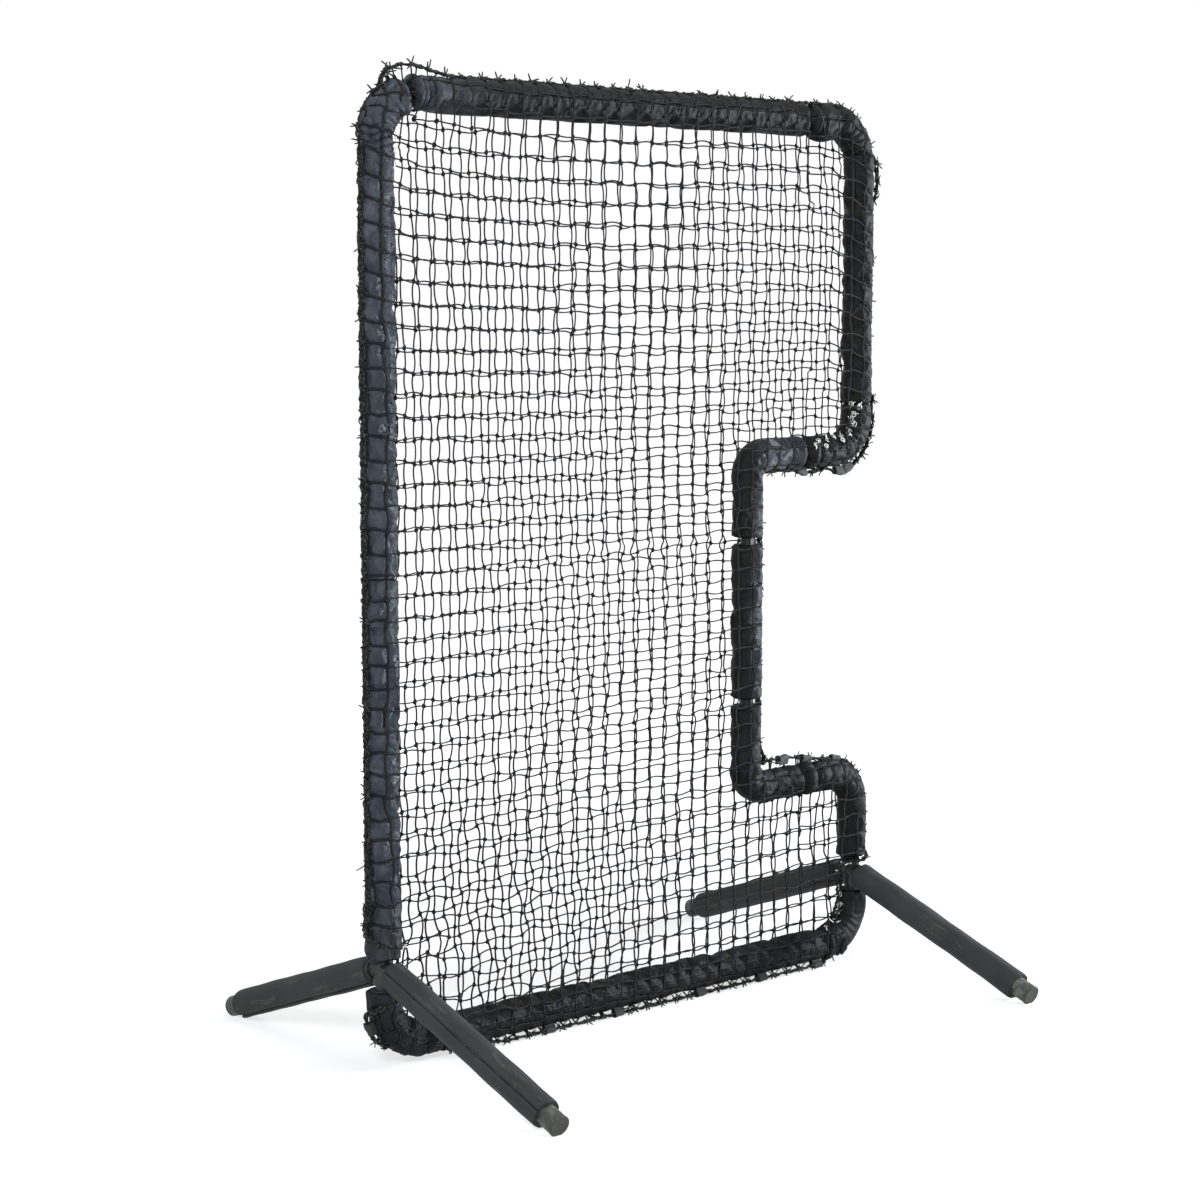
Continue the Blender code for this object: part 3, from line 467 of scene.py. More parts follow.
def net_margin(way):
    """How far past the frame's centre line the flat net reaches at these ways."""
    share = tucked(way)
    return NET_MARGIN * (1 - share) + TUCK_OUT * share


def draw_in_corners(points):
    """Draws the net's square corners in, so that its edge follows the frame's round ones."""
    points = points.copy()
    for index, out_x, out_z in net_corners:
        x, z, bend = FRAME_CORNERS[index]
        pivot = np.array((x - out_x * bend, z - out_z * bend))
        offset = (points - pivot) * (out_x, out_z)
        reach = bend + NET_MARGIN
        inside = (offset.min(axis=1) > 0) & (offset.max(axis=1) < reach + 1.5 * MESH)
        length = np.linalg.norm(offset[inside], axis=1)
        square = offset[inside].max(axis=1) / length
        share = np.clip(length * square / reach, 0, 1.5)
        drawn = 1 - (1 - square) * share ** 1.6
        points[inside] = pivot + offset[inside] * (out_x, out_z) * drawn[:, None]
    return points


def place_net(flat, side):
    """Lays points of the flat net on the frame: straight across it, and round the padding to the border."""
    points = draw_in_corners(flat.reshape(-1, 2))
    way, out = nearest_on_line(points)
    angle = math.pi / 2 - np.clip(out, 0, WRAP_LENGTH) / WRAP_RADIUS
    radius = padding_radius(way, side * -angle) - NET_SINK
    to_border = np.clip((out - WRAP_LENGTH) / BORDER_GAP, 0, 1)
    reach, behind = border_lie(way)
    radius = radius * (1 - to_border) + reach * to_border
    angle = angle * (1 - to_border) + side * behind * to_border
    outside = radius * np.cos(angle)
    depth = radius * np.sin(angle) + TWINE_RADIUS * to_border
    # Inside the frame it leaves the padding, and billows where it is free
    free = eased(-out / FREE_FROM)
    x, z = points.T
    billow = 0.006 * np.sin(3.1 * x + 2.3 * z + side) + 0.004 * np.sin(7.3 * z + side)
    depth = depth + LEAVES_BY * np.clip(-out / LEAVES_WITHIN, 0, 1) - free * (HANG + billow)
    pull = tucked(way) * np.clip(1 - (-out + TUCK_OUT) / TUCK_LENGTH, 0, 1)
    depth = depth * (1 - pull) + TUCK_DEPTH * pull
    centre, outward = line_at(way)
    placed = np.where((out > 0)[:, None], centre + outward * outside[:, None], points)
    return np.stack((placed[:, 0], side * depth, placed[:, 1]), axis=1).reshape(*flat.shape[:-1], 3)


def knot_grid(layer):
    """A layer's knots in the flat, slack and uneven as knotted net hangs, and each knot's turn."""
    rng = np.random.default_rng(layer["seed"])
    before = math.ceil((layer["column"] + NET_HALF_WIDTH) / layer["column_pitch"])
    after = math.ceil((NET_HALF_WIDTH - layer["column"]) / layer["column_pitch"])
    columns = layer["column"] + layer["column_pitch"] * np.arange(-before, after + 1)
    below = math.ceil((layer["row"] - NET_BOTTOM) / MESH)
    above = math.ceil((NET_TOP - layer["row"]) / MESH)
    rows = layer["row"] + MESH * np.arange(-below, above + 1)
    x, z = np.meshgrid(columns, rows, indexing="ij")
    # It is drawn up beside the left post, hangs down beside the right one, and is slackest at the lower left
    upper = np.clip((z - 1.1) / 0.6, 0, 1)
    lower_left = np.clip((0.75 - z) / 0.6, 0, 1) * np.clip((0.1 - x) / 0.7, 0, 1)
    top = np.clip((z - 1.65) / 0.40, 0, 1)
    lift = (0.014 + 0.024 * top) * upper * np.exp(-(x + HALF_WIDTH) / 0.12)
    drop = 0.026 * np.exp((np.minimum(x, HALF_WIDTH) - HALF_WIDTH) / 0.20) + 0.45 * np.clip(x - 0.70, 0, 0.11)
    lift = lift - upper * drop
    sag = -0.004 - 0.006 * np.cos(x / HALF_WIDTH * math.pi / 2)
    # Its lines wander, and each knot turns against its neighbours
    phase = layer["seed"]
    drift_x = 0.0035 * np.sin(5.1 * z + 2.2 * x + phase) + 0.0025 * np.sin(11.7 * z - 5.0 * x + 2 * phase)
    drift_z = 0.0030 * np.sin(4.7 * x + 1.3 * z + phase) + 0.0020 * np.sin(13.1 * x + 6.0 * z + 3 * phase)
    loose = 0.0015 + 0.0042 * lower_left
    flat = np.stack((
        x + drift_x + loose * rng.normal(size=x.shape) + 0.010 * lower_left,
        z + drift_z + lift + sag + layer["tilt"] * (x + 0.4) + loose * rng.normal(size=x.shape)), axis=-1)
    parity = np.indices(x.shape).sum(axis=0) % 2 * 2 - 1
    turn = KNOT_TURN * (1 + 0.3 * lower_left) * parity + math.radians(7) * rng.normal(size=x.shape)
    return flat, turn


def bowed(start, end, start_turn, end_turn, shares):
    """Points along the twine from knot to knot, leaving each knot at its turn."""
    span = end - start
    across = np.stack((-span[:, 1], span[:, 0]), axis=1)
    leave = span * np.cos(start_turn)[:, None] + across * np.sin(start_turn)[:, None]
    arrive = span * np.cos(end_turn)[:, None] + across * np.sin(end_turn)[:, None]
    t = shares[..., None]
    return (
        start[:, None] * (2 * t ** 3 - 3 * t ** 2 + 1) + leave[:, None] * (t ** 3 - 2 * t ** 2 + t)
        + end[:, None] * (3 * t ** 2 - 2 * t ** 3) + arrive[:, None] * (t ** 3 - t ** 2))


def net_twines(layer):
    """Every length of twine from knot to knot, cut at the border: its two knots, turns and cut share."""
    flat, turn = knot_grid(layer)
    starts = [flat[:-1].reshape(-1, 2), flat[:, :-1].reshape(-1, 2)]
    ends = [flat[1:].reshape(-1, 2), flat[:, 1:].reshape(-1, 2)]
    start_turns = [turn[:-1].ravel(), turn[:, :-1].ravel()]
    end_turns = [turn[1:].ravel(), turn[:, 1:].ravel()]
    start, end = np.concatenate(starts), np.concatenate(ends)
    start_turn, end_turn = np.concatenate(start_turns), np.concatenate(end_turns)
    way, out = nearest_on_line(draw_in_corners(start))
    outside = out > net_margin(way)
    start[outside], end[outside] = end[outside], start[outside].copy()
    start_turn[outside], end_turn[outside] = -end_turn[outside], -start_turn[outside].copy()
    samples = np.linspace(0, 1, CUT_SAMPLES)
    points = bowed(start, end, start_turn, end_turn, np.broadcast_to(samples, (len(start), CUT_SAMPLES)))
    way, out = nearest_on_line(draw_in_corners(points.reshape(-1, 2)))
    past = (out - net_margin(way)).reshape(-1, CUT_SAMPLES)
    kept = past[:, 0] <= 0
    crossing = np.argmax(past > 0, axis=1)
    cut = np.where(crossing > 0, samples[crossing] - 0.03, 1.0)
    kept &= cut > 0.04
    return start[kept], end[kept], start_turn[kept], end_turn[kept], cut[kept]


twines = {name: net_twines(layer) for name, layer in net_layers.items()}


def along_twines(name, spans):
    """Points along each twine of a layer in the flat, with this many spans to each."""
    *twine, cut = twines[name]
    return bowed(*twine, cut[:, None] * np.linspace(0, 1, spans + 1)[None])


# The twine that lies on the covers, to find how near it passes to each point of them
on_covers = []
for name, layer in net_layers.items():
    points = along_twines(name, 23)
    placed = place_net(points, layer["side"]).reshape(-1, 3)
    way, out = nearest_on_line(draw_in_corners(points.reshape(-1, 2)))
    on_covers.append(placed[(out > -0.004) & (out < WRAP_LENGTH + 0.001)])
on_covers = np.concatenate(on_covers)
twine_tree = KDTree(len(on_covers))
for index, point in enumerate(on_covers):
    twine_tree.insert(point, index)
twine_tree.balance()

# Covers: each dents under the twine and swells between, and one edge laps over the other. A cloth simulation
# then lets it bulge and crumple between the twines.
DENT_DEPTH = 0.0040
DENT_WIDTH = 0.0038
PILLOW = 0.0018
FLAP_STEP = 0.0014
LAP_RISE = 1.2
LAP_LEVEL = 150
# Painted shade where the cover lies deep: the radius below which it darkens, its range, and the share that
# holds the cloth
CREASE_SHADE_RADIUS = 0.0325
CREASE_SHADE_RANGE = 0.0060
CREASE_SHADE_HELD = 0.3
HELD_WITHIN = 0.0030
SAG_LENGTH = 0.040
PILLOW_FULL = 0.016
TWINE_SHADE = 0.25
COVER_HEM = 0.0030
FOAM_CLEARANCE = 0.0006
CLOTH_FRAMES = 14
MOST_CRUMPLE = 0.0045
# The cloth is stiff to stretch and limp to bend, a little too large for its foam, and the foam presses it out
cloth_settings = {
    "quality": 4, "mass": 0.15, "tension_stiffness": 15.0, "compression_stiffness": 15.0,
    "shear_stiffness": 5.0, "bending_stiffness": 0.01, "air_damping": 2.0, "shrink_min": -0.09,
    "use_pressure": True, "uniform_pressure_force": 1.5, "vertex_group_mass": "held"}
# Where each cover's sewn edge lies round the tube, in degrees from outward towards the front
flap_edges = {
    "left_post_lower_padding": 84, "left_post_upper_padding": 84, "top_rail_padding": 78,
    "right_post_upper_padding": 150, "upper_arm_padding": 96, "notch_top_padding": 110,
    "notch_post_padding": 112, "notch_bottom_padding": 112, "right_post_lower_padding": 150,
    "bottom_right_padding": 120, "bottom_rail_padding": 100, "bottom_left_padding": 96}


def mesh_piece(name, points, faces, finishes, face_finishes=None, maps=None):
    """A smooth mesh of faces in an array or a list, linked to the scene. The map places each face corner."""
    mesh = bpy.data.meshes.new(name)
    mesh.from_pydata(points.tolist(), [], faces if isinstance(faces, list) else faces.tolist())
    for finish in finishes:
        mesh.materials.append(finish)
    if face_finishes is not None:
        mesh.polygons.foreach_set("material_index", face_finishes)
    if maps is not None:
        layer = mesh.uv_layers.new(name="cover")
        layer.data.foreach_set("uv", maps.astype(np.float32).ravel())
    mesh.shade_smooth()
    piece = bpy.data.objects.new(name, mesh)
    bpy.context.scene.collection.objects.link(piece)
    return piece


def grid_faces(rows, columns, closed):
    """The quads of a grid of points, row by row, joined round if closed."""
    row, column = np.indices((rows - 1, columns if closed else columns - 1))
    right = (column + 1) % columns
    lower, upper = row * columns, (row + 1) * columns
    return np.stack((lower + column, lower + right, upper + right, upper + column), axis=-1).reshape(-1, 4)


def grid_map(across, along):
    """The map of a grid's quads, from the values at its columns' edges and the values at its rows."""
    row, column = np.indices((np.shape(along)[-1] - 1, len(across) - 1)).reshape(2, -1)
    corners_across = across[np.stack((column, column + 1, column + 1, column), axis=-1)]
    corners_along = along[..., np.stack((row, row, row + 1, row + 1), axis=-1)]
    return np.stack(np.broadcast_arrays(corners_across, corners_along), axis=-1)


def sleeve(name, start, end, flap, sag):
    """One length of padding: its cover dented by the twine, with the foam's ends closed in to the tube.

    The cover's start sags by the given length at its sides, between the legs' stubs. Gives the piece, and
    which of its points the twine or the cuffs hold.
    """
    # Rings along the cover, closer where it gathers, and two more at each end to close the foam to the tube
    ways = np.linspace(start, end, round((end - start) / RING_SPACING) + 1)
    gathers = (ways > GATHERS_START - 0.01) & (ways < GATHERS_END + 0.01)
    ways = np.sort(np.concatenate((ways, ways[gathers] + RING_SPACING / 2)))
    rings = len(ways)
    ways = np.concatenate(([start, start], ways, [end, end]))
    lap = math.radians(flap)
    around = lap + np.concatenate((
        np.radians([0.0, LAP_RISE, 4.0]), np.linspace(math.radians(8), math.radians(356), SIDES_ROUND - 3)))
    way, angle = np.meshgrid(ways, around, indexing="ij")
    radius = padding_radius(way, angle)
    way = way - sag * np.cos(angle) ** 2 * np.clip(1 - (way - start) / SAG_LENGTH, 0, 1)
    past_lap = np.mod(angle - lap, 2 * math.pi)
    step = FLAP_STEP * np.clip(past_lap / math.radians(LAP_RISE), 0, 1)
    step = step * np.clip(1 - past_lap / math.radians(LAP_LEVEL), 0, 1)
    # It dents where the twine presses on it and swells between
    undented = round_line(way[2:-2], angle[2:-2], radius[2:-2])
    gaps = np.array([twine_tree.find(point)[2] for point in undented]).reshape(rings, SIDES_ROUND)
    dent = np.exp(-(gaps / DENT_WIDTH) ** 2)
    swell = PILLOW * np.clip(gaps / PILLOW_FULL, 0, 1)
    radius[2:-2] += swell - DENT_DEPTH * dent + step[2:-2]
    radius[1] = radius[2] - COVER_HEM
    radius[-2] = radius[-3] - COVER_HEM
    radius[[0, -1]] = TUBE_RADIUS + FOAM_CLEARANCE
    points = round_line(way, angle, radius)
    faces = grid_faces(len(ways), SIDES_ROUND, True)[:, ::-1]
    ring = np.repeat(np.arange(len(ways) - 1), SIDES_ROUND)
    foam_face = (ring == 0) | (ring == len(ways) - 2)
    round_way = np.concatenate((past_lap[0], [2 * math.pi])) * PADDING_RADIUS
    round_way[0] = 0.0
    piece = mesh_piece(
        name.replace("_padding", "_sleeve"), points, faces, [vinyl_coated_polyester, sleeve_foam],
        foam_face.astype(np.int32), grid_map(round_way, ways)[:, ::-1])
    # Painted shade: darker where the cover lies deep, and a little under the twine
    crease_shade = np.clip((CREASE_SHADE_RADIUS - padding_radius(way, angle)) / CREASE_SHADE_RANGE, 0, 1)
    shown = crease_shade.copy()
    shown[2:-2] = np.maximum(crease_shade[2:-2], TWINE_SHADE * dent)
    piece.data.attributes.new("crease_shade", "FLOAT", "POINT").data.foreach_set("value", shown.ravel())
    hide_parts(name)
    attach(piece, "frame")
    held = np.ones(way.shape, bool)
    held[4:-4] = (gaps[2:-2] < HELD_WITHIN) | (crease_shade[4:-4] > CREASE_SHADE_HELD)
    return piece, held.ravel()


def crumple(pieces):
    """Lets the covers bulge and crumple between the twines, as cloth a little too large for its foam."""
    for piece, held in pieces:
        group = piece.vertex_groups.new(name="held")
        group.add(np.flatnonzero(held).tolist(), 1.0, "REPLACE")
        cloth = piece.modifiers.new("cloth", "CLOTH")
        for setting, value in cloth_settings.items():
            setattr(cloth.settings, setting, value)
        cloth.settings.effector_weights.gravity = 0.0
        cloth.collision_settings.use_collision = False
        cloth.point_cache.frame_start = 1
        cloth.point_cache.frame_end = CLOTH_FRAMES
    for step in range(1, CLOTH_FRAMES + 1):
        bpy.context.scene.frame_set(step)
    graph = bpy.context.evaluated_depsgraph_get()
    for piece, held in pieces:
        count = len(piece.data.vertices)
        before = np.empty(count * 3, np.float32)
        after = np.empty(count * 3, np.float32)
        piece.data.vertices.foreach_get("co", before)
        piece.evaluated_get(graph).data.vertices.foreach_get("co", after)
        move = (after - before).reshape(-1, 3)
        length = np.linalg.norm(move, axis=1, keepdims=True)
        move = move * np.minimum(1, MOST_CRUMPLE / np.maximum(length, 1e-9))
        piece.modifiers.clear()
        piece.vertex_groups.clear()
        piece.data.vertices.foreach_set("co", (before.reshape(-1, 3) + move).ravel())
        piece.data.update()
    bpy.context.scene.frame_set(1)


# The cover's cloth is woven at about 0.6 mm under its coating, drawn here at 1.5 mm to show. The coating is
# satin, creases finely between the twines, and holds dust that greys it in patches. Painted shade turns it
# near black to the right and near the ground, lighter at the left. The lap is sewn 4 mm from its edge.
WEAVE = 0.0015
CREASE_SIZE = 0.020
DUST_SIZE = 0.070
CRUMPLE_SIZE = 0.026
STITCH_LENGTH = 0.0045
STITCH_SHARE = 0.62
STITCH_FROM_EDGE = 0.0040
STITCH_HALF_WIDTH = 0.0007
# Painted highlights, pale patches on the notch's top and down its post: the share that its height is squashed
# to, the centre as squashed, how far from that it is pale and keeps its black again, and the black left
# within
painted_highlights = [
    (0.40, (0.46, 0.0, 0.51), 0.055, 0.110, 0.10), (0.13, (0.40, -0.04, 0.117), 0.040, 0.064, 0.42)]

vinyl_coated_polyester, tree, shader, where = new_material("vinyl_coated_polyester")
cover = add_node(tree, "UVMap", uv_map="cover")
place = add_node(tree, "SeparateXYZ", {0: cover})
dust = add_node(tree, "TexNoise", {
    "Vector": where, "Scale": 1 / DUST_SIZE, "Detail": 5.0, "Roughness": 0.62})
grain = add_node(tree, "TexNoise", {"Vector": where, "Scale": 260.0, "Detail": 3.0, "Roughness": 0.7})
# Painted shade: how much black is painted in, more to the right and near the ground, less at painted
# highlights
on_screen = add_node(tree, "SeparateXYZ", {0: where})
to_the_right = add_node(tree, "MapRange", {
    "Value": on_screen.outputs["X"], "From Min": -0.72, "From Max": -0.42}, interpolation_type="SMOOTHSTEP")
by_the_ground = add_node(tree, "MapRange", {
    "Value": on_screen.outputs["Z"], "From Min": 0.10, "From Max": 0.50, "To Min": 0.90, "To Max": 0.0},
    interpolation_type="SMOOTHSTEP")
painted_shade_share = add_node(tree, "Math", {0: to_the_right, 1: by_the_ground}, operation="MAXIMUM")
# Painted highlights: the painted shade is taken out in pale patches on the notch
for squash, centre, core, rim, left in painted_highlights:
    squat = add_node(tree, "Mapping", {"Vector": where, "Scale": (1.0, 1.0, squash)})
    away = add_node(tree, "VectorMath", {0: squat, 1: centre}, operation="DISTANCE")
    outside_highlights = add_node(tree, "MapRange", {"Value": away, "From Min": core, "From Max": rim, "To Min": left})
    painted_shade_share = add_node(tree, "Math", {0: painted_shade_share, 1: outside_highlights}, operation="MULTIPLY")
# Lit and painted-shade copies of each tone: lighter at the left, near black where shade is painted
clean = add_node(tree, "Mix", {0: painted_shade_share, 6: "#2d3139", 7: "#070808"}, data_type="RGBA")
dusty = add_node(tree, "Mix", {0: painted_shade_share, 6: "#41454d", 7: "#121313"}, data_type="RGBA")
tone = mottled(tree, dust, 0.46, 0.72, clean, dusty)
tone = mottled(tree, grain, 0.60, 0.78, tone, "#26272a", 0.4)
# Painted shade, near black where the cover lies deep and under the twine
crease_shade = add_node(tree, "Attribute", attribute_name="crease_shade")
tone = add_node(tree, "Mix", {0: crease_shade.outputs["Fac"], 6: tone, 7: "#040405"}, data_type="RGBA")
# The stitches: a dashed line of thread along the lap
from_stitches = add_node(tree, "Math", {0: place.outputs["X"], 1: STITCH_FROM_EDGE}, operation="SUBTRACT")
beside = add_node(tree, "Math", {0: from_stitches}, operation="ABSOLUTE")
on_row = add_node(tree, "Math", {0: beside, 1: STITCH_HALF_WIDTH}, operation="LESS_THAN")
repeats = add_node(tree, "Math", {0: place.outputs["Y"], 1: STITCH_LENGTH}, operation="DIVIDE")
part_way = add_node(tree, "Math", {0: repeats}, operation="FRACT")
dash = add_node(tree, "Math", {0: part_way, 1: STITCH_SHARE}, operation="LESS_THAN")
stitch = add_node(tree, "Math", {0: on_row, 1: dash}, operation="MULTIPLY")
tone = add_node(tree, "Mix", {0: stitch, 6: tone, 7: "#2e3033"}, data_type="RGBA")
satin = add_node(tree, "MapRange", {"Value": dust, "To Min": 0.26, "To Max": 0.44})
duller = add_node(tree, "Math", {0: painted_shade_share, 1: 0.20, 2: satin}, operation="MULTIPLY_ADD")
# Where more painted shade is mixed in, it is crumpled less
crumple_share = add_node(tree, "MapRange", {"Value": painted_shade_share, "To Min": 1.0, "To Max": 0.22})
stretched = add_node(tree, "Mapping", {"Vector": cover, "Scale": (1.0, 0.55, 1.0)})
creases = add_node(tree, "TexNoise", {
    "Vector": stretched, "Scale": 1 / CREASE_SIZE, "Detail": 3.0, "Roughness": 0.5, "Distortion": 0.9},
    noise_type="RIDGED_MULTIFRACTAL")
ridges = add_node(tree, "Bump", {"Height": creases, "Strength": crumple_share, "Distance": 0.0010})
# Crumpled, it lies in flat facets with sharp edges, each tilted its own way
slanted = add_node(tree, "Mapping", {
    "Vector": cover, "Rotation": (0.0, 0.0, 0.6), "Scale": (1.0, 0.62, 1.0)})
facets = add_node(tree, "TexVoronoi", {
    "Vector": slanted, "Scale": 1 / CRUMPLE_SIZE, "Randomness": 1.0}, voronoi_dimensions="2D")
across_facet = add_node(tree, "VectorMath", {0: slanted, 1: facets.outputs["Position"]}, operation="SUBTRACT")
tilt = add_node(tree, "VectorMath", {0: facets.outputs["Color"], 1: (0.5, 0.5, 0.5)}, operation="SUBTRACT")
lift = add_node(tree, "VectorMath", {0: across_facet, 1: tilt}, operation="DOT_PRODUCT")
crumpled = add_node(tree, "Bump", {
    "Height": lift, "Strength": crumple_share, "Distance": 1.2, "Normal": ridges})
threads = []
for direction in ("X", "Y"):
    turns = add_node(tree, "Math", {
        0: place.outputs[direction], 1: 2 * math.pi / WEAVE}, operation="MULTIPLY")
    threads.append(add_node(tree, "Math", {0: turns}, operation="SINE"))
raised = add_node(tree, "Math", {0: threads[0], 1: threads[1], 2: stitch}, operation="MULTIPLY_ADD")
feed(tree, shader, {
    "Base Color": tone, "Roughness": duller, "IOR": 1.47, "Specular IOR Level": 0.16,
    "Normal": add_node(tree, "Bump", {
        "Height": raised, "Strength": 0.35, "Distance": 0.0003, "Normal": crumpled})})

# The foam under the cover shows only at the cut ends: closed-cell polyethylene, dull, with pores 1.2 mm apart
FOAM_PORES = 0.0012
sleeve_foam, tree, shader, where = new_material("cut_polyethylene_foam")
pores = add_node(tree, "TexVoronoi", {"Vector": where, "Scale": 1 / FOAM_PORES})
feed(tree, shader, {
    "Base Color": add_node(tree, "Mix", {0: pores, 6: "#101112", 7: "#2c2d2e"}, data_type="RGBA"),
    "Roughness": 0.92,
    "Normal": add_node(tree, "Bump", {"Height": pores, "Strength": 0.6, "Distance": 0.0006})})

# The lowest cover of the left post sags between the legs' stubs
LOWEST_COVER_SAG = 0.010
covers = []
for index, (name, flap) in enumerate(flap_edges.items()):
    start, start_half = seams[index]
    end, end_half = seams[(index + 1) % len(seams)]
    if end < start:
        end += line_length
    covers.append(sleeve(name, start + start_half, end - end_half, flap, 0.0 if index else LOWEST_COVER_SAG))
crumple(covers)

# Net: two layers of knotted nylon twine, dyed black, a flat one on each face of the frame. The twine is three
# plies laid together, goes slack between its knots, and each knot is a lump where four lengths meet.
TWINE_SIDES = 4
TWINE_SPANS = 5
SLACK_SWELL = 0.20
PLY_LAY = 0.0045
KNOT_LOOP = (0.0043, 0.0032, 0.0024)

nylon_twine, tree, shader, where = new_material("laid_nylon_twine")
fade = add_node(tree, "TexNoise", {"Vector": where, "Scale": 14.0, "Detail": 4.0})
dyed = mottled(tree, fade, 0.40, 0.62, "#10141f", "#1e1a15")
cover = add_node(tree, "UVMap", uv_map="cover")
place = add_node(tree, "SeparateXYZ", {0: cover})
lay = add_node(tree, "Math", {0: place.outputs["Y"], 1: 2 * math.pi / PLY_LAY}, operation="MULTIPLY")
turned = add_node(tree, "Math", {0: place.outputs["X"], 1: 2 * math.pi, 2: lay}, operation="MULTIPLY_ADD")
plies = add_node(tree, "Math", {0: turned}, operation="SINE")
# Painted shade in the grooves between the plies, and a painted highlight on their crowns
ply_shade = add_node(tree, "MapRange", {"Value": plies, "From Min": -1.0, "To Min": 0.55, "To Max": 1.15})
fibres = add_node(tree, "TexNoise", {"Vector": where, "Scale": 900.0, "Detail": 2.0})
feed(tree, shader, {
    "Base Color": add_node(tree, "VectorMath", {0: dyed, "Scale": ply_shade}, operation="SCALE"),
    "Roughness": add_node(tree, "MapRange", {"Value": fibres, "To Min": 0.55, "To Max": 0.95}),
    "IOR": 1.53, "Specular IOR Level": 0.20,
    "Normal": add_node(tree, "Bump", {"Height": plies, "Strength": 0.7, "Distance": 0.0005})})


def ringed(lines, first, second, reach, sides):
    """The points of a ring round each point of the lines, in the plane of the first and second direction."""
    angle = (np.arange(sides) * 2 * math.pi / sides)[:, None]
    reach = np.broadcast_to(reach, lines.shape[:2])[..., None, None]
    around = first[:, :, None] * np.cos(angle) + second[:, :, None] * np.sin(angle)
    return (lines[:, :, None] + around * reach).reshape(-1, 3)


def repeated(quads, count, points):
    """The quads of several shapes that are alike, each with this many points."""
    return (quads[None] + (np.arange(count) * points)[:, None, None]).reshape(-1, 4)


def tubes_along(lines, radius, sides, taper=1.0):
    """Round tubes along lines of equally many points: their points, quads and map round and along."""
    count, length = lines.shape[:2]
    heading = unit(np.gradient(lines, axis=1))
    across = np.cross(heading[:, 0], (0.31, 0.83, 0.47))
    frames = []
    for step in range(length):
        across = unit(across - heading[:, step] * (across * heading[:, step]).sum(axis=1, keepdims=True))
        frames.append(across)
    first = np.stack(frames, axis=1)
    reach = np.broadcast_to(radius, (count,))[:, None] * taper
    points = ringed(lines, first, np.cross(heading, first), reach, sides)
    faces = repeated(grid_faces(length, sides, True), count, length * sides)
    steps = np.linalg.norm(np.diff(lines, axis=1), axis=2)
    along = np.concatenate((np.zeros((count, 1)), np.cumsum(steps, axis=1)), axis=1)
    return points, faces, grid_map(np.arange(sides + 1) / sides, along).reshape(-1, 4, 2)


def join_shapes(shapes):
    """Several shapes' points, faces and maps as one."""
    points, faces, maps = zip(*shapes)
    before = np.cumsum([0] + [len(some) for some in points[:-1]])
    faces = [some + count for some, count in zip(faces, before)]
    return np.concatenate(points), np.concatenate(faces), np.concatenate(maps)


def closed_loops(centres, first, second, length, width, tube, steps, lift):
    """A short closed loop of twine round each centre, as one closed tube of four sides each."""
    angle = np.arange(steps) * 2 * math.pi / steps
    third = np.cross(first, second)
    radial = first[:, None] * (np.cos(angle) * length)[None, :, None]
    radial = radial + second[:, None] * (np.sin(angle) * width)[None, :, None]
    radial = radial + third[:, None] * (np.sin(2 * angle) * lift)[None, :, None]
    points = ringed(centres[:, None] + radial, unit(radial), third[:, None], tube, 4)
    faces = repeated(grid_faces(steps + 1, 4, True) % (steps * 4), len(centres), steps * 4)
    one_map = grid_map(np.arange(5) / 4, np.arange(steps + 1) * length * 2 * math.pi / steps)
    return points, faces, np.tile(one_map, (len(centres), 1, 1))


def net_knots(layer):
    """The lumps of a layer's knots, turned as the twine leaves them."""
    flat, turn = knot_grid(layer)
    flat, turn = flat.reshape(-1, 2), turn.ravel()
    way, out = nearest_on_line(draw_in_corners(flat))
    inside = out < net_margin(way) - 0.004
    flat, turn = flat[inside], turn[inside]
    rng = np.random.default_rng(layer["seed"] + 1)
    diagonal = turn + math.radians(45) * np.sign(turn) + rng.normal(size=len(turn)) * 0.25
    aim = np.stack((np.cos(diagonal), np.sin(diagonal)), axis=1) * 0.002
    side_aim = np.stack((-aim[:, 1], aim[:, 0]), axis=1)
    centre = place_net(flat, layer["side"])
    first = unit(place_net(flat + aim, layer["side"]) - centre)
    second = place_net(flat + side_aim, layer["side"]) - centre
    second = unit(second - first * (second * first).sum(axis=1, keepdims=True))
    return closed_loops(centre, first, second, *KNOT_LOOP, 7, 0.0009)


border_tie_ways = {}
for name, layer in net_layers.items():
    flat = along_twines(name, TWINE_SPANS)
    lines = place_net(flat, layer["side"])
    ends_at_border = twines[name][-1] < 1
    border_tie_ways[name] = nearest_on_line(draw_in_corners(flat[ends_at_border, -1]))[0]
    slack = np.clip((0.95 - lines[:, 0, 2]) / 0.6, 0, 1)
    twine = tubes_along(lines, TWINE_RADIUS * (1.0 + SLACK_SWELL * slack), TWINE_SIDES)
    points, faces, maps = join_shapes([twine, net_knots(layer)])
    piece = mesh_piece(name + "_twine", points, faces, [nylon_twine], maps=maps)
    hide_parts(name)
    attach(piece, "frame")

# Border: strands of the same twine laced through the edge meshes of both layers, all round the frame. Each
# mesh is knotted to it and cut off short, which leaves a tuft of two ends over two legs. It passes inside the
# posts below the legs' stubs and turns to the front along the bottom. At the inner corners lie pale ends,
# painted near white as glints.
LACE_RADIUS = 0.0016
LACE_SPREAD = 0.0085
LACE_SPACING = 0.004
LACE_GATHER = 0.62
# The strands: each one's place across the border's spread, and how many times it wraps round the others
lace_strands = [(-0.7, 0), (-0.1, 0), (0.5, 0), (0.0, 165), (0.0, 233), (0.1, 311)]
TUCKED_REACH = 0.0390
TAB_PRESS = 0.024
LOWEST_TWINE = 0.0012
# Loops of twine: length, width and the twine's radius
TIE_LOOP = (0.0056, 0.0044, 0.0025)
SECOND_LOOP = (0.0050, 0.0038, 0.0022)
BACK_LOOP = (0.0050, 0.0036, 0.0023)

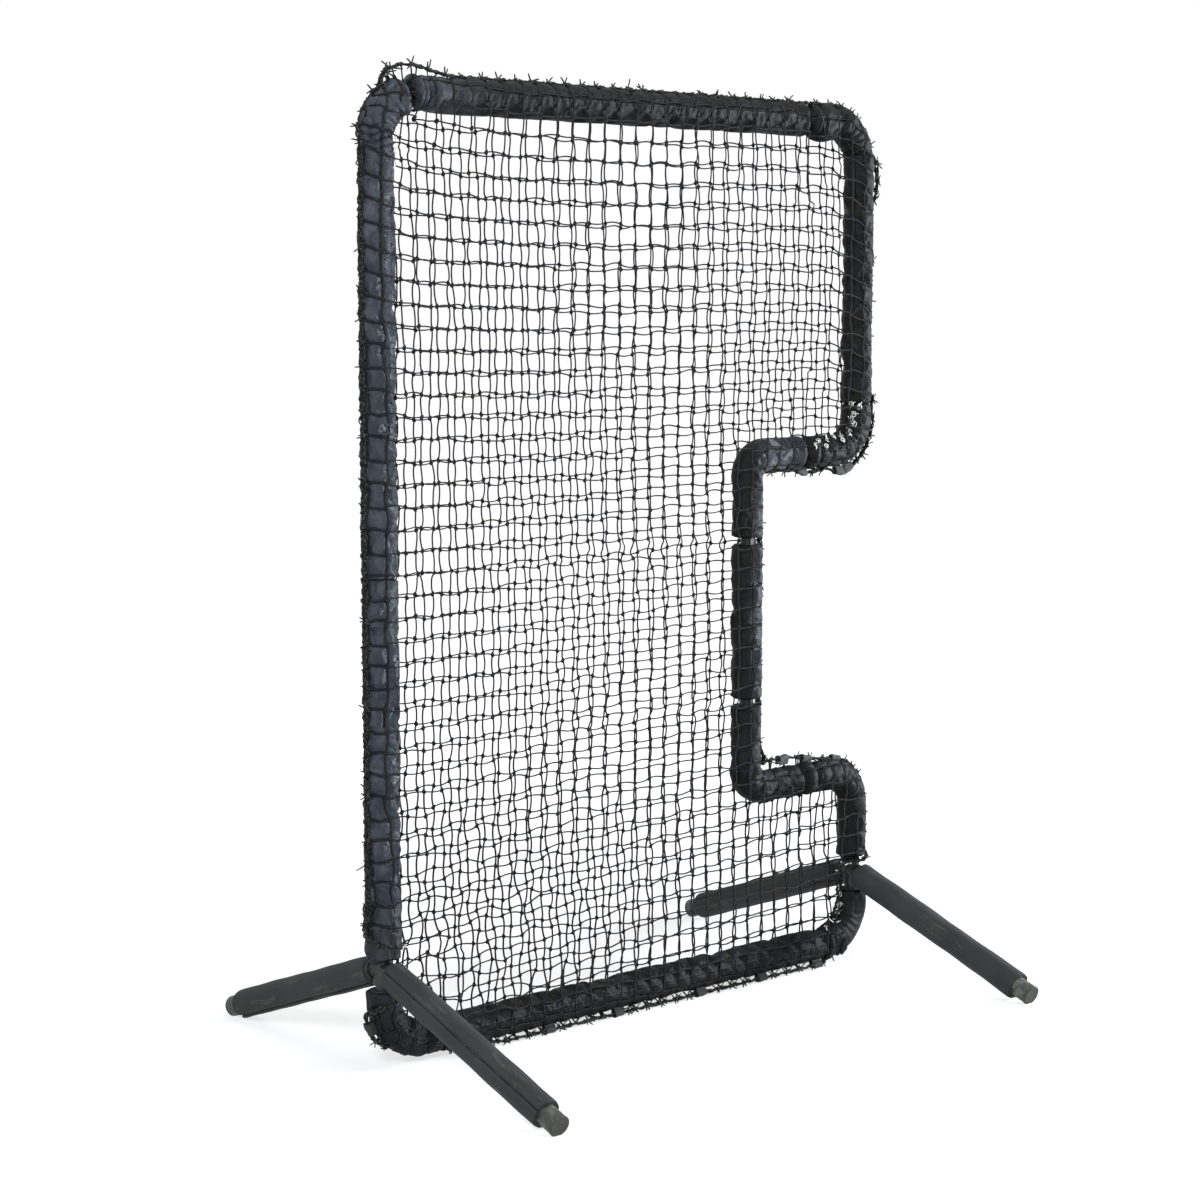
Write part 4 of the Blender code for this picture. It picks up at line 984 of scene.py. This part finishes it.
# The lacing's black twine is worn, and specked with pale dust and lint
worn_twine, tree, shader, where = new_material("worn_nylon_twine")
specks = add_node(tree, "TexNoise", {"Vector": where, "Scale": 190.0, "Detail": 3.0})
feed(tree, shader, {
    "Base Color": mottled(tree, specks, 0.46, 0.68, "#0e0f0e", "#484a46"),
    "Roughness": 0.85, "Specular IOR Level": 0.20})

# The ends at the inner corners are twine painted near white as glints, greyed in patches
glint_white_nylon, tree, shader, where = new_material("glint_white_nylon")
glint_patches = add_node(tree, "TexNoise", {"Vector": where, "Scale": 420.0, "Detail": 3.0})
feed(tree, shader, {
    "Base Color": mottled(tree, glint_patches, 0.32, 0.48, "#4c4c46", "#f2f2ec"), "Roughness": 0.75})


def border_place(ways, out=0.0, depth=0.0):
    """Places by the way along, and how far out and round to the back of the border's centre they are."""
    ways = np.mod(ways, line_length)
    share = tucked(ways)
    lie, behind = border_lie(ways)
    reach = out + lie * (1 - share) + TUCKED_REACH * share
    turn = math.pi * share - behind * (1 - share) - depth / BORDER_OUT
    return round_line(ways, turn, reach)


def border_axes(ways):
    """Along the border at these ways, and away from the frame there."""
    along = unit(border_place(ways + 0.001) - border_place(ways - 0.001))
    return along, unit(border_place(ways, 0.001) - border_place(ways))


def tails(start, aim, bend, length, radius=TWINE_RADIUS):
    """Short ends of twine that leave each start along its aim and bend a little."""
    shares = np.linspace(0, 1, 5)[None, :, None]
    lines = start[:, None] + length[:, None, None] * (aim[:, None] * shares + bend[:, None] * shares ** 2)
    return tubes_along(lines, radius, 4, taper=np.array((1.0, 1.0, 1.0, 0.95, 0.80)))


tab_names = sorted(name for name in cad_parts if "_tab_" in name)
tab_middles = [(Vector(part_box(name)[0]) + Vector(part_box(name)[1])) / 2 for name in tab_names]
tab_ways, _ = nearest_on_line(np.array([(middle.x, middle.z) for middle in tab_middles]))


def tab_press(ways):
    """How far a tab folded over the border presses it together at each way along, from 0 to 1."""
    return sum(hump(ways - tab_way, TAB_PRESS) for tab_way in tab_ways)


ways = np.linspace(0, line_length, round(line_length / LACE_SPACING), endpoint=False)
free = np.clip((border_lie(ways)[0] - BORDER_OUT) / 0.010, 0, 1)
spread = LACE_SPREAD * (1 - LACE_GATHER * np.maximum(np.maximum(free, tucked(ways)), tab_press(ways)))
laces = []
for strand, (across, wraps) in enumerate(lace_strands):
    sway = 0.30 * np.sin(ways * 61 + strand * 2) + 0.24 * np.sin(ways * 137 + strand)
    turn = 2 * math.pi * wraps * ways / line_length + strand
    depth = spread * (across + sway + (0.9 * np.sin(turn) if wraps else 0.0))
    out = 0.0014 * np.sin(ways * 83 + 3 * strand) + (0.0026 * np.cos(turn) if wraps else 0.0)
    line = border_place(ways, out, depth)
    laces.append(tubes_along(np.concatenate((line, line[:1]))[None], LACE_RADIUS, 5))

rng = np.random.default_rng(21)
tie_way = border_tie_ways["net_front"] + rng.normal(size=len(border_tie_ways["net_front"])) * 0.002
tie_way = tie_way[tab_press(tie_way) < 0.5]
count = len(tie_way)
inside = tucked(tie_way) > 0.5
tie_place = border_place(tie_way, depth=-0.002)
along, heading = border_axes(tie_way)
first = unit(along + rng.normal(size=(count, 3)) * 0.35)
second = unit(np.cross(first, heading))
laces.append(closed_loops(tie_place, first, second, *TIE_LOOP, 10, 0.0016))
laces.append(closed_loops(tie_place + along * 0.002, second, first, *SECOND_LOOP, 10, 0.0018))
back_ties = border_tie_ways["net_back"]
back_place = border_place(back_ties, depth=0.003)
laces.append(closed_loops(back_place, *border_axes(back_ties), *BACK_LOOP, 8, 0.0016))

# Each tie has two cut ends and two legs down to the padding. Inside the posts only pale ends are left,
# painted near white as glints.
pale = []
for lean in (-1, 1):
    aim = heading + along * (lean * rng.uniform(0.35, 0.85, count))[:, None]
    aim = unit(aim + rng.normal(size=(count, 3)) * 0.16)
    bend = rng.normal(size=(count, 3)) * 0.22
    length = rng.uniform(0.011, 0.018, count)
    laces.append(tails(tie_place[~inside], aim[~inside], bend[~inside], length[~inside]))
    pale.append(tails(tie_place[inside], aim[inside], bend[inside], length[inside]))
    foot = border_place(tie_way + lean * rng.uniform(0.006, 0.011, count), -0.0045, -0.012)
    down = foot - tie_place
    reach = np.linalg.norm(down, axis=1)
    laces.append(tails(tie_place[~inside], unit(down)[~inside], bend[~inside] * 0.3, reach[~inside] * 1.3))


def round_bend(middle, turns, reaches):
    """Places round the middle of a bend, by turn in degrees and by reach."""
    turns = np.radians(turns)
    return np.stack((middle[0] + reaches * np.cos(turns), middle[1] + reaches * np.sin(turns)), axis=1)


# Loops and ends at the inner corners, painted near white as glints, lying on the cover: where they lie in X
# and Z
LOOP_REACH = 0.0425
LOW_LOOPS_TURN = 0.40
PALE_RADIUS = 0.0012
PALE_LOOP = (0.0064, 0.0052, 0.0011)
uneven = np.array((-1, 1, 0, -1, 1, -1, 1, -1, 1, -1))
corner_ties = np.concatenate((
    round_bend((-0.635, 2.007), (120, 160, 172), 0.078), ((-0.712, 1.990), (-0.712, 1.965)),
    round_bend((0.635, 1.412), (8, 2, -12, -23, -29, -42, -50, -62, -70, -84), 0.075 + 0.008 * uneven),
    ((0.611, 1.335), (0.596, 1.322), (0.578, 1.336), (0.562, 1.326)),
    round_bend((0.635, 0.162), (8, -14, -34, -54, -76), 0.070)))
corner_way, corner_out = nearest_on_line(corner_ties)
corner_turn = np.arccos(np.clip(corner_out / LOOP_REACH, -0.90, 0.90))
corner_turn[-5:] += LOW_LOOPS_TURN
corner_place = round_line(corner_way, corner_turn, LOOP_REACH)
corner_along = unit(round_line(corner_way + 0.001, corner_turn, LOOP_REACH) - corner_place)
corner_round = unit(round_line(corner_way, corner_turn + 0.02, LOOP_REACH) - corner_place)
pale.append(closed_loops(corner_place, corner_along, corner_round, *PALE_LOOP, 12, 0.0010))
count = len(corner_way)
for _ in range(2):
    aim = unit(corner_along * rng.normal(size=(count, 1)) + corner_round * rng.normal(size=(count, 1)))
    bend = np.roll(aim, 1, axis=1) * 0.5
    pale.append(tails(corner_place, aim, bend, rng.uniform(0.008, 0.016, count), PALE_RADIUS))

# Dark twine is also lashed round the bare post above the right socket
LASHING_TURNS = 11
LASHING_LOW = 0.252
LASHING_HIGH = 0.272
lashing = np.linspace(0, 1, 240)
turn = 2 * math.pi * LASHING_TURNS * lashing
reach = TUBE_RADIUS + LACE_RADIUS * (1.6 + np.sin(17 * turn / LASHING_TURNS))
lashed = np.stack((
    HALF_WIDTH + reach * np.cos(turn), reach * np.sin(turn),
    LASHING_LOW + (LASHING_HIGH - LASHING_LOW) * (0.5 - 0.5 * np.cos(3 * math.pi * lashing))), axis=1)
laces.append(tubes_along(lashed[None], LACE_RADIUS, 5))
points, faces, maps = join_shapes(laces + pale)
points[:, 2] = np.maximum(points[:, 2], LOWEST_TWINE)
dark_faces = sum(len(shape[1]) for shape in laces)
finish_of_face = (np.arange(len(faces)) >= dark_faces).astype(np.int32)
piece = mesh_piece("border_lacing", points, faces, [worn_twine, glint_white_nylon], finish_of_face, maps)
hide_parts("border_cord")
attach(piece, "frame")

# Closure tabs: short hook-and-loop straps of woven nylon, folded over the border and pressed shut. They are
# charcoal with bound edges and a coarse ribbed face, darker near the ground, and sit a little crooked.
TAB_LENGTH = 0.030
TAB_WIDTH = 0.045
TAB_THICKNESS = 0.0014
TAB_FOLD_REACH = 0.0068
TAB_LEG = 0.015
TAB_HALF_DEPTH = 0.0078
TAB_EDGE = 0.0004
LOWEST_TAB = 0.0022
RIB = 0.0016

nylon_webbing, tree, shader, where = new_material("woven_nylon_webbing")
cover = add_node(tree, "UVMap", uv_map="cover")
place = add_node(tree, "SeparateXYZ", {0: cover})
ribs = add_node(tree, "Math", {0: place.outputs["Y"], 1: 2 * math.pi / RIB}, operation="MULTIPLY")
ribbed = add_node(tree, "Math", {0: ribs}, operation="SINE")
lint = add_node(tree, "TexNoise", {"Vector": where, "Scale": 350.0, "Detail": 4.0})
on_screen = add_node(tree, "SeparateXYZ", {0: where})
linty = mottled(tree, lint, 0.50, 0.72, "#2f3133", "#5e6162")
feed(tree, shader, {
    "Base Color": mottled(tree, on_screen.outputs["Z"], 0.30, 0.06, linty, "#0c0d0d", 0.85),
    "Roughness": 0.82,
    "Normal": add_node(tree, "Bump", {"Height": ribbed, "Strength": 0.5, "Distance": 0.0004})})

for index, name in enumerate(tab_names):
    rng = np.random.default_rng(40 + index)
    across = np.linspace(-TAB_LENGTH / 2, TAB_LENGTH / 2, 9)
    share = np.linspace(0, 1, 23)
    fold = math.pi * (share - 0.5)
    leg = np.clip(np.abs(share - 0.5) / 0.5 - 0.35, 0, 1) / 0.65
    reach = TAB_FOLD_REACH * np.cos(fold) - TAB_LEG * leg ** 0.9
    closed = np.minimum(1, np.abs(np.sin(fold)) * 1.4)
    depth = (TAB_HALF_DEPTH - 0.0026 * leg) * np.sign(share - 0.5) * closed
    crooked = rng.uniform(-0.12, 0.12)
    way, out = np.meshgrid(across, reach, indexing="ij")
    deep = np.broadcast_to(depth, way.shape)
    curl = 0.0012 * np.sin(way * 260 + rng.uniform(0, 6)) * np.sin(deep * 300 + 1)
    near_by = border_place(tab_ways[index] + np.array((-0.004, 0.004)))
    stretch = np.linalg.norm(near_by[1] - near_by[0]) / 0.008
    along = tab_ways[index] + (way + crooked * out) / stretch
    points = border_place(along.ravel(), (out + curl + crooked * way).ravel(), deep.ravel())
    points[:, 2] = np.maximum(points[:, 2], LOWEST_TAB)
    faces = grid_faces(len(across), len(reach), False)
    maps = grid_map(TAB_WIDTH * share, across)[..., ::-1]
    piece = mesh_piece(name + "_strap", points, faces, [nylon_webbing], maps=maps)
    thick = piece.modifiers.new("thickness", "SOLIDIFY")
    thick.thickness = TAB_THICKNESS
    thick.offset = 0.0
    rounded = piece.modifiers.new("bound_edges", "BEVEL")
    rounded.width = TAB_EDGE
    rounded.segments = 2
    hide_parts(name)
    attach(piece, "frame")

# Legs: a steel tube slipped over each socket's stub, covered with a split pipe of grey foam, and closed by a
# moulded plug that stands on the floor. The foam's slit gapes and one lip rides over the other.
LEG_PIVOT = 0.232
LEG_SLOPE = math.radians(19.6)
LEG_RADIUS = 0.0238
LEG_WALL = 0.00165
LEG_TUBE_START = 0.0323
FOAM_START = 0.035
FOAM_RADIUS = 0.0340
FOAM_BORE = 0.0245
SKIN_PORES = 0.0022
FOAM_STOPS_SHORT = 0.0400
SLIT_WIDTH = 0.0026
SLIT_OPENING = 0.0030
OPENING_LENGTH = 0.05
RIDING_LIP = 0.0024
RIDING_WIDTH = 0.016
SUNK_LIP = 0.0010
SUNK_WIDTH = 0.012
EDGE_ROUNDING = 0.0016
END_LENGTH = 0.006
LIP_WIDTH = 0.0025
FLARE_LENGTH = 0.10
RAGGED_END = 0.0012
RAGGED_LENGTH = 0.01
FOAM_SPACING = 0.005
FOAM_OUTER_SIDES = 60
FOAM_INNER_SIDES = 18
TURNED_SIDES = 48
LOWEST_LEG = 0.0003

leg_foam, tree, shader, where = new_material("skinned_polyethylene_foam")
cover = add_node(tree, "UVMap", uv_map="cover")
drawn_out = add_node(tree, "Mapping", {"Vector": cover, "Scale": (1.0, 0.12, 1.0)})
rubs = add_node(tree, "TexNoise", {
    "Vector": drawn_out, "Scale": 60.0, "Detail": 6.0, "Roughness": 0.70, "Distortion": 0.4})
dust = add_node(tree, "TexNoise", {"Vector": where, "Scale": 9.0, "Detail": 5.0})
dusty = mottled(tree, dust, 0.40, 0.68, "#242525", "#303131")
pores = add_node(tree, "TexVoronoi", {"Vector": where, "Scale": 1 / SKIN_PORES})
pitting = add_node(tree, "Bump", {"Height": pores, "Strength": 0.35, "Distance": 0.0005})
feed(tree, shader, {
    "Base Color": mottled(tree, rubs, 0.58, 0.74, dusty, "#64645e", 0.75),
    "Roughness": add_node(tree, "MapRange", {"Value": dust, "To Min": 0.70, "To Max": 0.95}),
    "Specular IOR Level": 0.34,
    "Normal": add_node(tree, "Bump", {
        "Height": rubs, "Strength": 0.30, "Distance": 0.0020, "Normal": pitting})})

# The plug is moulded polyethylene, olive grey and dull, faintly sanded by the ground
moulded_polyethylene, tree, shader, where = new_material("moulded_polyethylene")
sanded = add_node(tree, "TexNoise", {"Vector": where, "Scale": 130.0, "Detail": 6.0, "Roughness": 0.7})
feed(tree, shader, {
    "Base Color": mottled(tree, sanded, 0.50, 0.75, "#262721", "#4d4e43"),
    "Roughness": add_node(tree, "MapRange", {"Value": sanded, "To Min": 0.45, "To Max": 0.85}),
    "Normal": add_node(tree, "Bump", {"Height": sanded, "Strength": 0.3, "Distance": 0.0004})})

# The leg's own enamel is charcoal, and scuffed dusty where the tube runs out of the foam
scuffed_enamel, tree, shader, where = new_material("scuffed_enamel")
scuffs = add_node(tree, "TexNoise", {"Vector": where, "Scale": 45.0, "Detail": 7.0, "Roughness": 0.72})
feed(tree, shader, {
    "Base Color": mottled(tree, scuffs, 0.46, 0.70, "#2c2e2b", "#6b6a62"),
    "Roughness": add_node(tree, "MapRange", {"Value": scuffs, "To Min": 0.38, "To Max": 0.80})})


def round_leg(x, side, way, radius, angle):
    """Places round the axis of a leg to the front (-1) or the back (+1), with angle 0 on its top."""
    along = np.array((0.0, side * math.cos(LEG_SLOPE), -math.sin(LEG_SLOPE)))
    up = np.array((0.0, side * math.sin(LEG_SLOPE), math.cos(LEG_SLOPE)))
    across = np.array((-1.0, 0.0, 0.0))
    return (
        np.array((x, 0.0, LEG_PIVOT)) + along * way[..., None] + up * (radius * np.cos(angle))[..., None]
        + across * (radius * np.sin(angle))[..., None]).reshape(-1, 3)


def turned_on_leg(name, x, side, profile, finish, body, node):
    """A piece turned round a leg's axis from pairs of radius and way along, kept above the floor."""
    radius, way = np.array(profile).T[..., None]
    points = round_leg(x, side, way, radius, np.arange(TURNED_SIDES) * 2 * math.pi / TURNED_SIDES)
    points[:, 2] = np.maximum(points[:, 2], LOWEST_LEG)
    faces = grid_faces(len(profile), TURNED_SIDES, True)[:, ::side]
    piece = mesh_piece(name, points, faces, [finish])
    piece.data.set_sharp_from_angle(angle=math.radians(40))
    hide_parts(node)
    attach(piece, body)


def foam_pipe(body, x, side, slit, end, flare):
    """The split foam pipe: rings of a skin, two lips and a bore, with the slit at its angle from the top."""
    rng = np.random.default_rng(60 + len(body) + side)
    phase = rng.uniform(0, 2 * math.pi, 6)
    rings = round((end - FOAM_START) / FOAM_SPACING) + 1
    way = np.linspace(FOAM_START, end, rings)[:, None]
    # The slit gapes unevenly, and opens towards the foot
    gape = SLIT_WIDTH + 0.0012 * np.sin(way * 13 + phase[0]) + 0.0008 * np.sin(way * 37 + phase[1])
    gape = gape + SLIT_OPENING * np.clip(1 - (end - way) / OPENING_LENGTH, 0, 1) ** 2
    outer = np.linspace(0, 1, FOAM_OUTER_SIDES)[None]
    inner = np.linspace(1, 0, FOAM_INNER_SIDES)[None]
    half_outer = gape / 2 / FOAM_RADIUS
    half_inner = gape / 2 / FOAM_BORE
    outer_angle = half_outer + (2 * math.pi - 2 * half_outer) * outer
    inner_angle = half_inner + (2 * math.pi - 2 * half_inner) * inner
    # The skin swells unevenly, one lip rides up, the other sinks, and its edges and ends are rounded
    riding = np.exp(-outer * 2 * math.pi * FOAM_RADIUS / RIDING_WIDTH)
    sunk = np.exp(-(1 - outer) * 2 * math.pi * FOAM_RADIUS / SUNK_WIDTH)
    skin = FOAM_RADIUS - 0.0006 + 0.0005 * np.sin(way * 21 + 2 * outer_angle + phase[2])
    skin = skin + 0.0004 * np.sin(way * 55 + 3 * outer_angle + phase[3])
    skin = skin + RIDING_LIP * riding * (0.7 + 0.3 * np.sin(way * 17 + phase[4])) - SUNK_LIP * sunk
    from_end = np.minimum(way - FOAM_START, end - way)
    skin = skin - EDGE_ROUNDING * np.clip(1 - from_end / END_LENGTH, 0, 1) ** 2
    flared = np.clip(1 - (end - way) / FLARE_LENGTH, 0, 1) ** 2
    skin = skin + flare * flared * (0.6 + 0.4 * np.cos(outer_angle))
    lips = np.clip(1 - np.minimum(outer, 1 - outer) * 2 * math.pi * FOAM_RADIUS / LIP_WIDTH, 0, 1)
    skin = skin - EDGE_ROUNDING * lips ** 2
    bore = np.broadcast_to(FOAM_BORE + 0.0002, inner_angle.shape)
    angle = np.concatenate((outer_angle, inner_angle), axis=1)
    radius = np.concatenate((skin, bore), axis=1)
    ragged = RAGGED_END * np.sin(5 * angle + phase[5]) * np.clip(1 - from_end / RAGGED_LENGTH, 0, 1)
    around = angle.shape[1]
    points = round_leg(x, side, way + ragged, radius, angle + slit)
    quads = grid_faces(rings, around, True)
    maps = grid_map(np.arange(around + 1) * 2 * math.pi * FOAM_RADIUS / around, way.ravel())
    # Each end is closed by quads and triangles from each point of the skin to the nearest of the bore
    stops = np.round(np.linspace(0, FOAM_OUTER_SIDES - 1, FOAM_INNER_SIDES))
    skin_points = np.arange(FOAM_OUTER_SIDES)
    bore_points = around - 1 - np.searchsorted((stops[:-1] + stops[1:]) / 2, skin_points, side="right")
    cap = np.stack((skin_points[:-1], skin_points[1:], bore_points[1:], bore_points[:-1]), axis=1)
    caps = np.concatenate((cap[:, ::-1], cap + (rings - 1) * around))[:, ::side]
    caps = [list(dict.fromkeys(face)) for face in caps.tolist()]
    cap_map = points[[corner for face in caps for corner in face]][:, [0, 2]]
    piece = mesh_piece(
        body + "_foam_pipe", points, quads[:, ::side].tolist() + caps, [leg_foam],
        maps=np.concatenate((maps[:, ::side].reshape(-1, 2), cap_map)))
    piece.data.set_sharp_from_angle(angle=math.radians(50))
    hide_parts(body + "_foam")
    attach(piece, body)


PLUG_RADIUS = 0.0246
PLUG_ROUNDING = 0.0022
PLUG_FLANGE = 0.006
lowest = (PLUG_RADIUS - 0.0015) * math.cos(LEG_SLOPE)
leg_tip = (LEG_PIVOT + 0.0015 - lowest) / math.sin(LEG_SLOPE)
tube_end = leg_tip - PLUG_FLANGE - 0.0003
bore = LEG_RADIUS - LEG_WALL
tube_profile = [
    (bore, LEG_TUBE_START + 0.050), (bore, LEG_TUBE_START), (LEG_RADIUS - 0.0005, LEG_TUBE_START),
    (LEG_RADIUS, LEG_TUBE_START + 0.0005), (LEG_RADIUS, tube_end - 0.0005), (LEG_RADIUS - 0.0005, tube_end),
    (bore, tube_end)]
plug_rim = [
    (PLUG_RADIUS - PLUG_ROUNDING * (1 - math.sin(angle)), leg_tip - PLUG_ROUNDING * (1 - math.cos(angle)))
    for angle in np.linspace(0, math.pi / 2, 7)]
plug_profile = [
    (0.0001, leg_tip - 0.0006), (0.012, leg_tip - 0.0005), (PLUG_RADIUS - 0.0045, leg_tip - 0.0001),
    *plug_rim, (PLUG_RADIUS, leg_tip - PLUG_FLANGE + 0.0006), (PLUG_RADIUS - 0.0006, leg_tip - PLUG_FLANGE),
    (0.0200, leg_tip - PLUG_FLANGE)]
# The legs: body, place across, which way it points, its slit's angle from the top, and its foam's flare
legs = [
    ("front_left_leg", -HALF_WIDTH, -1, 60, 0.0008), ("back_left_leg", -HALF_WIDTH, 1, 150, 0.0010),
    ("front_right_leg", HALF_WIDTH, -1, 180, 0.0022), ("back_right_leg", HALF_WIDTH, 1, 55, 0.0004)]
for body, x, side, slit, flare in legs:
    turned_on_leg(body + "_steel", x, side, tube_profile, scuffed_enamel, body, body + "_tube")
    turned_on_leg(
        body + "_end_plug", x, side, plug_profile, moulded_polyethylene, body, body + "_plug")
    foam_pipe(body, x, side, math.radians(slit), tube_end - FOAM_STOPS_SHORT, flare)
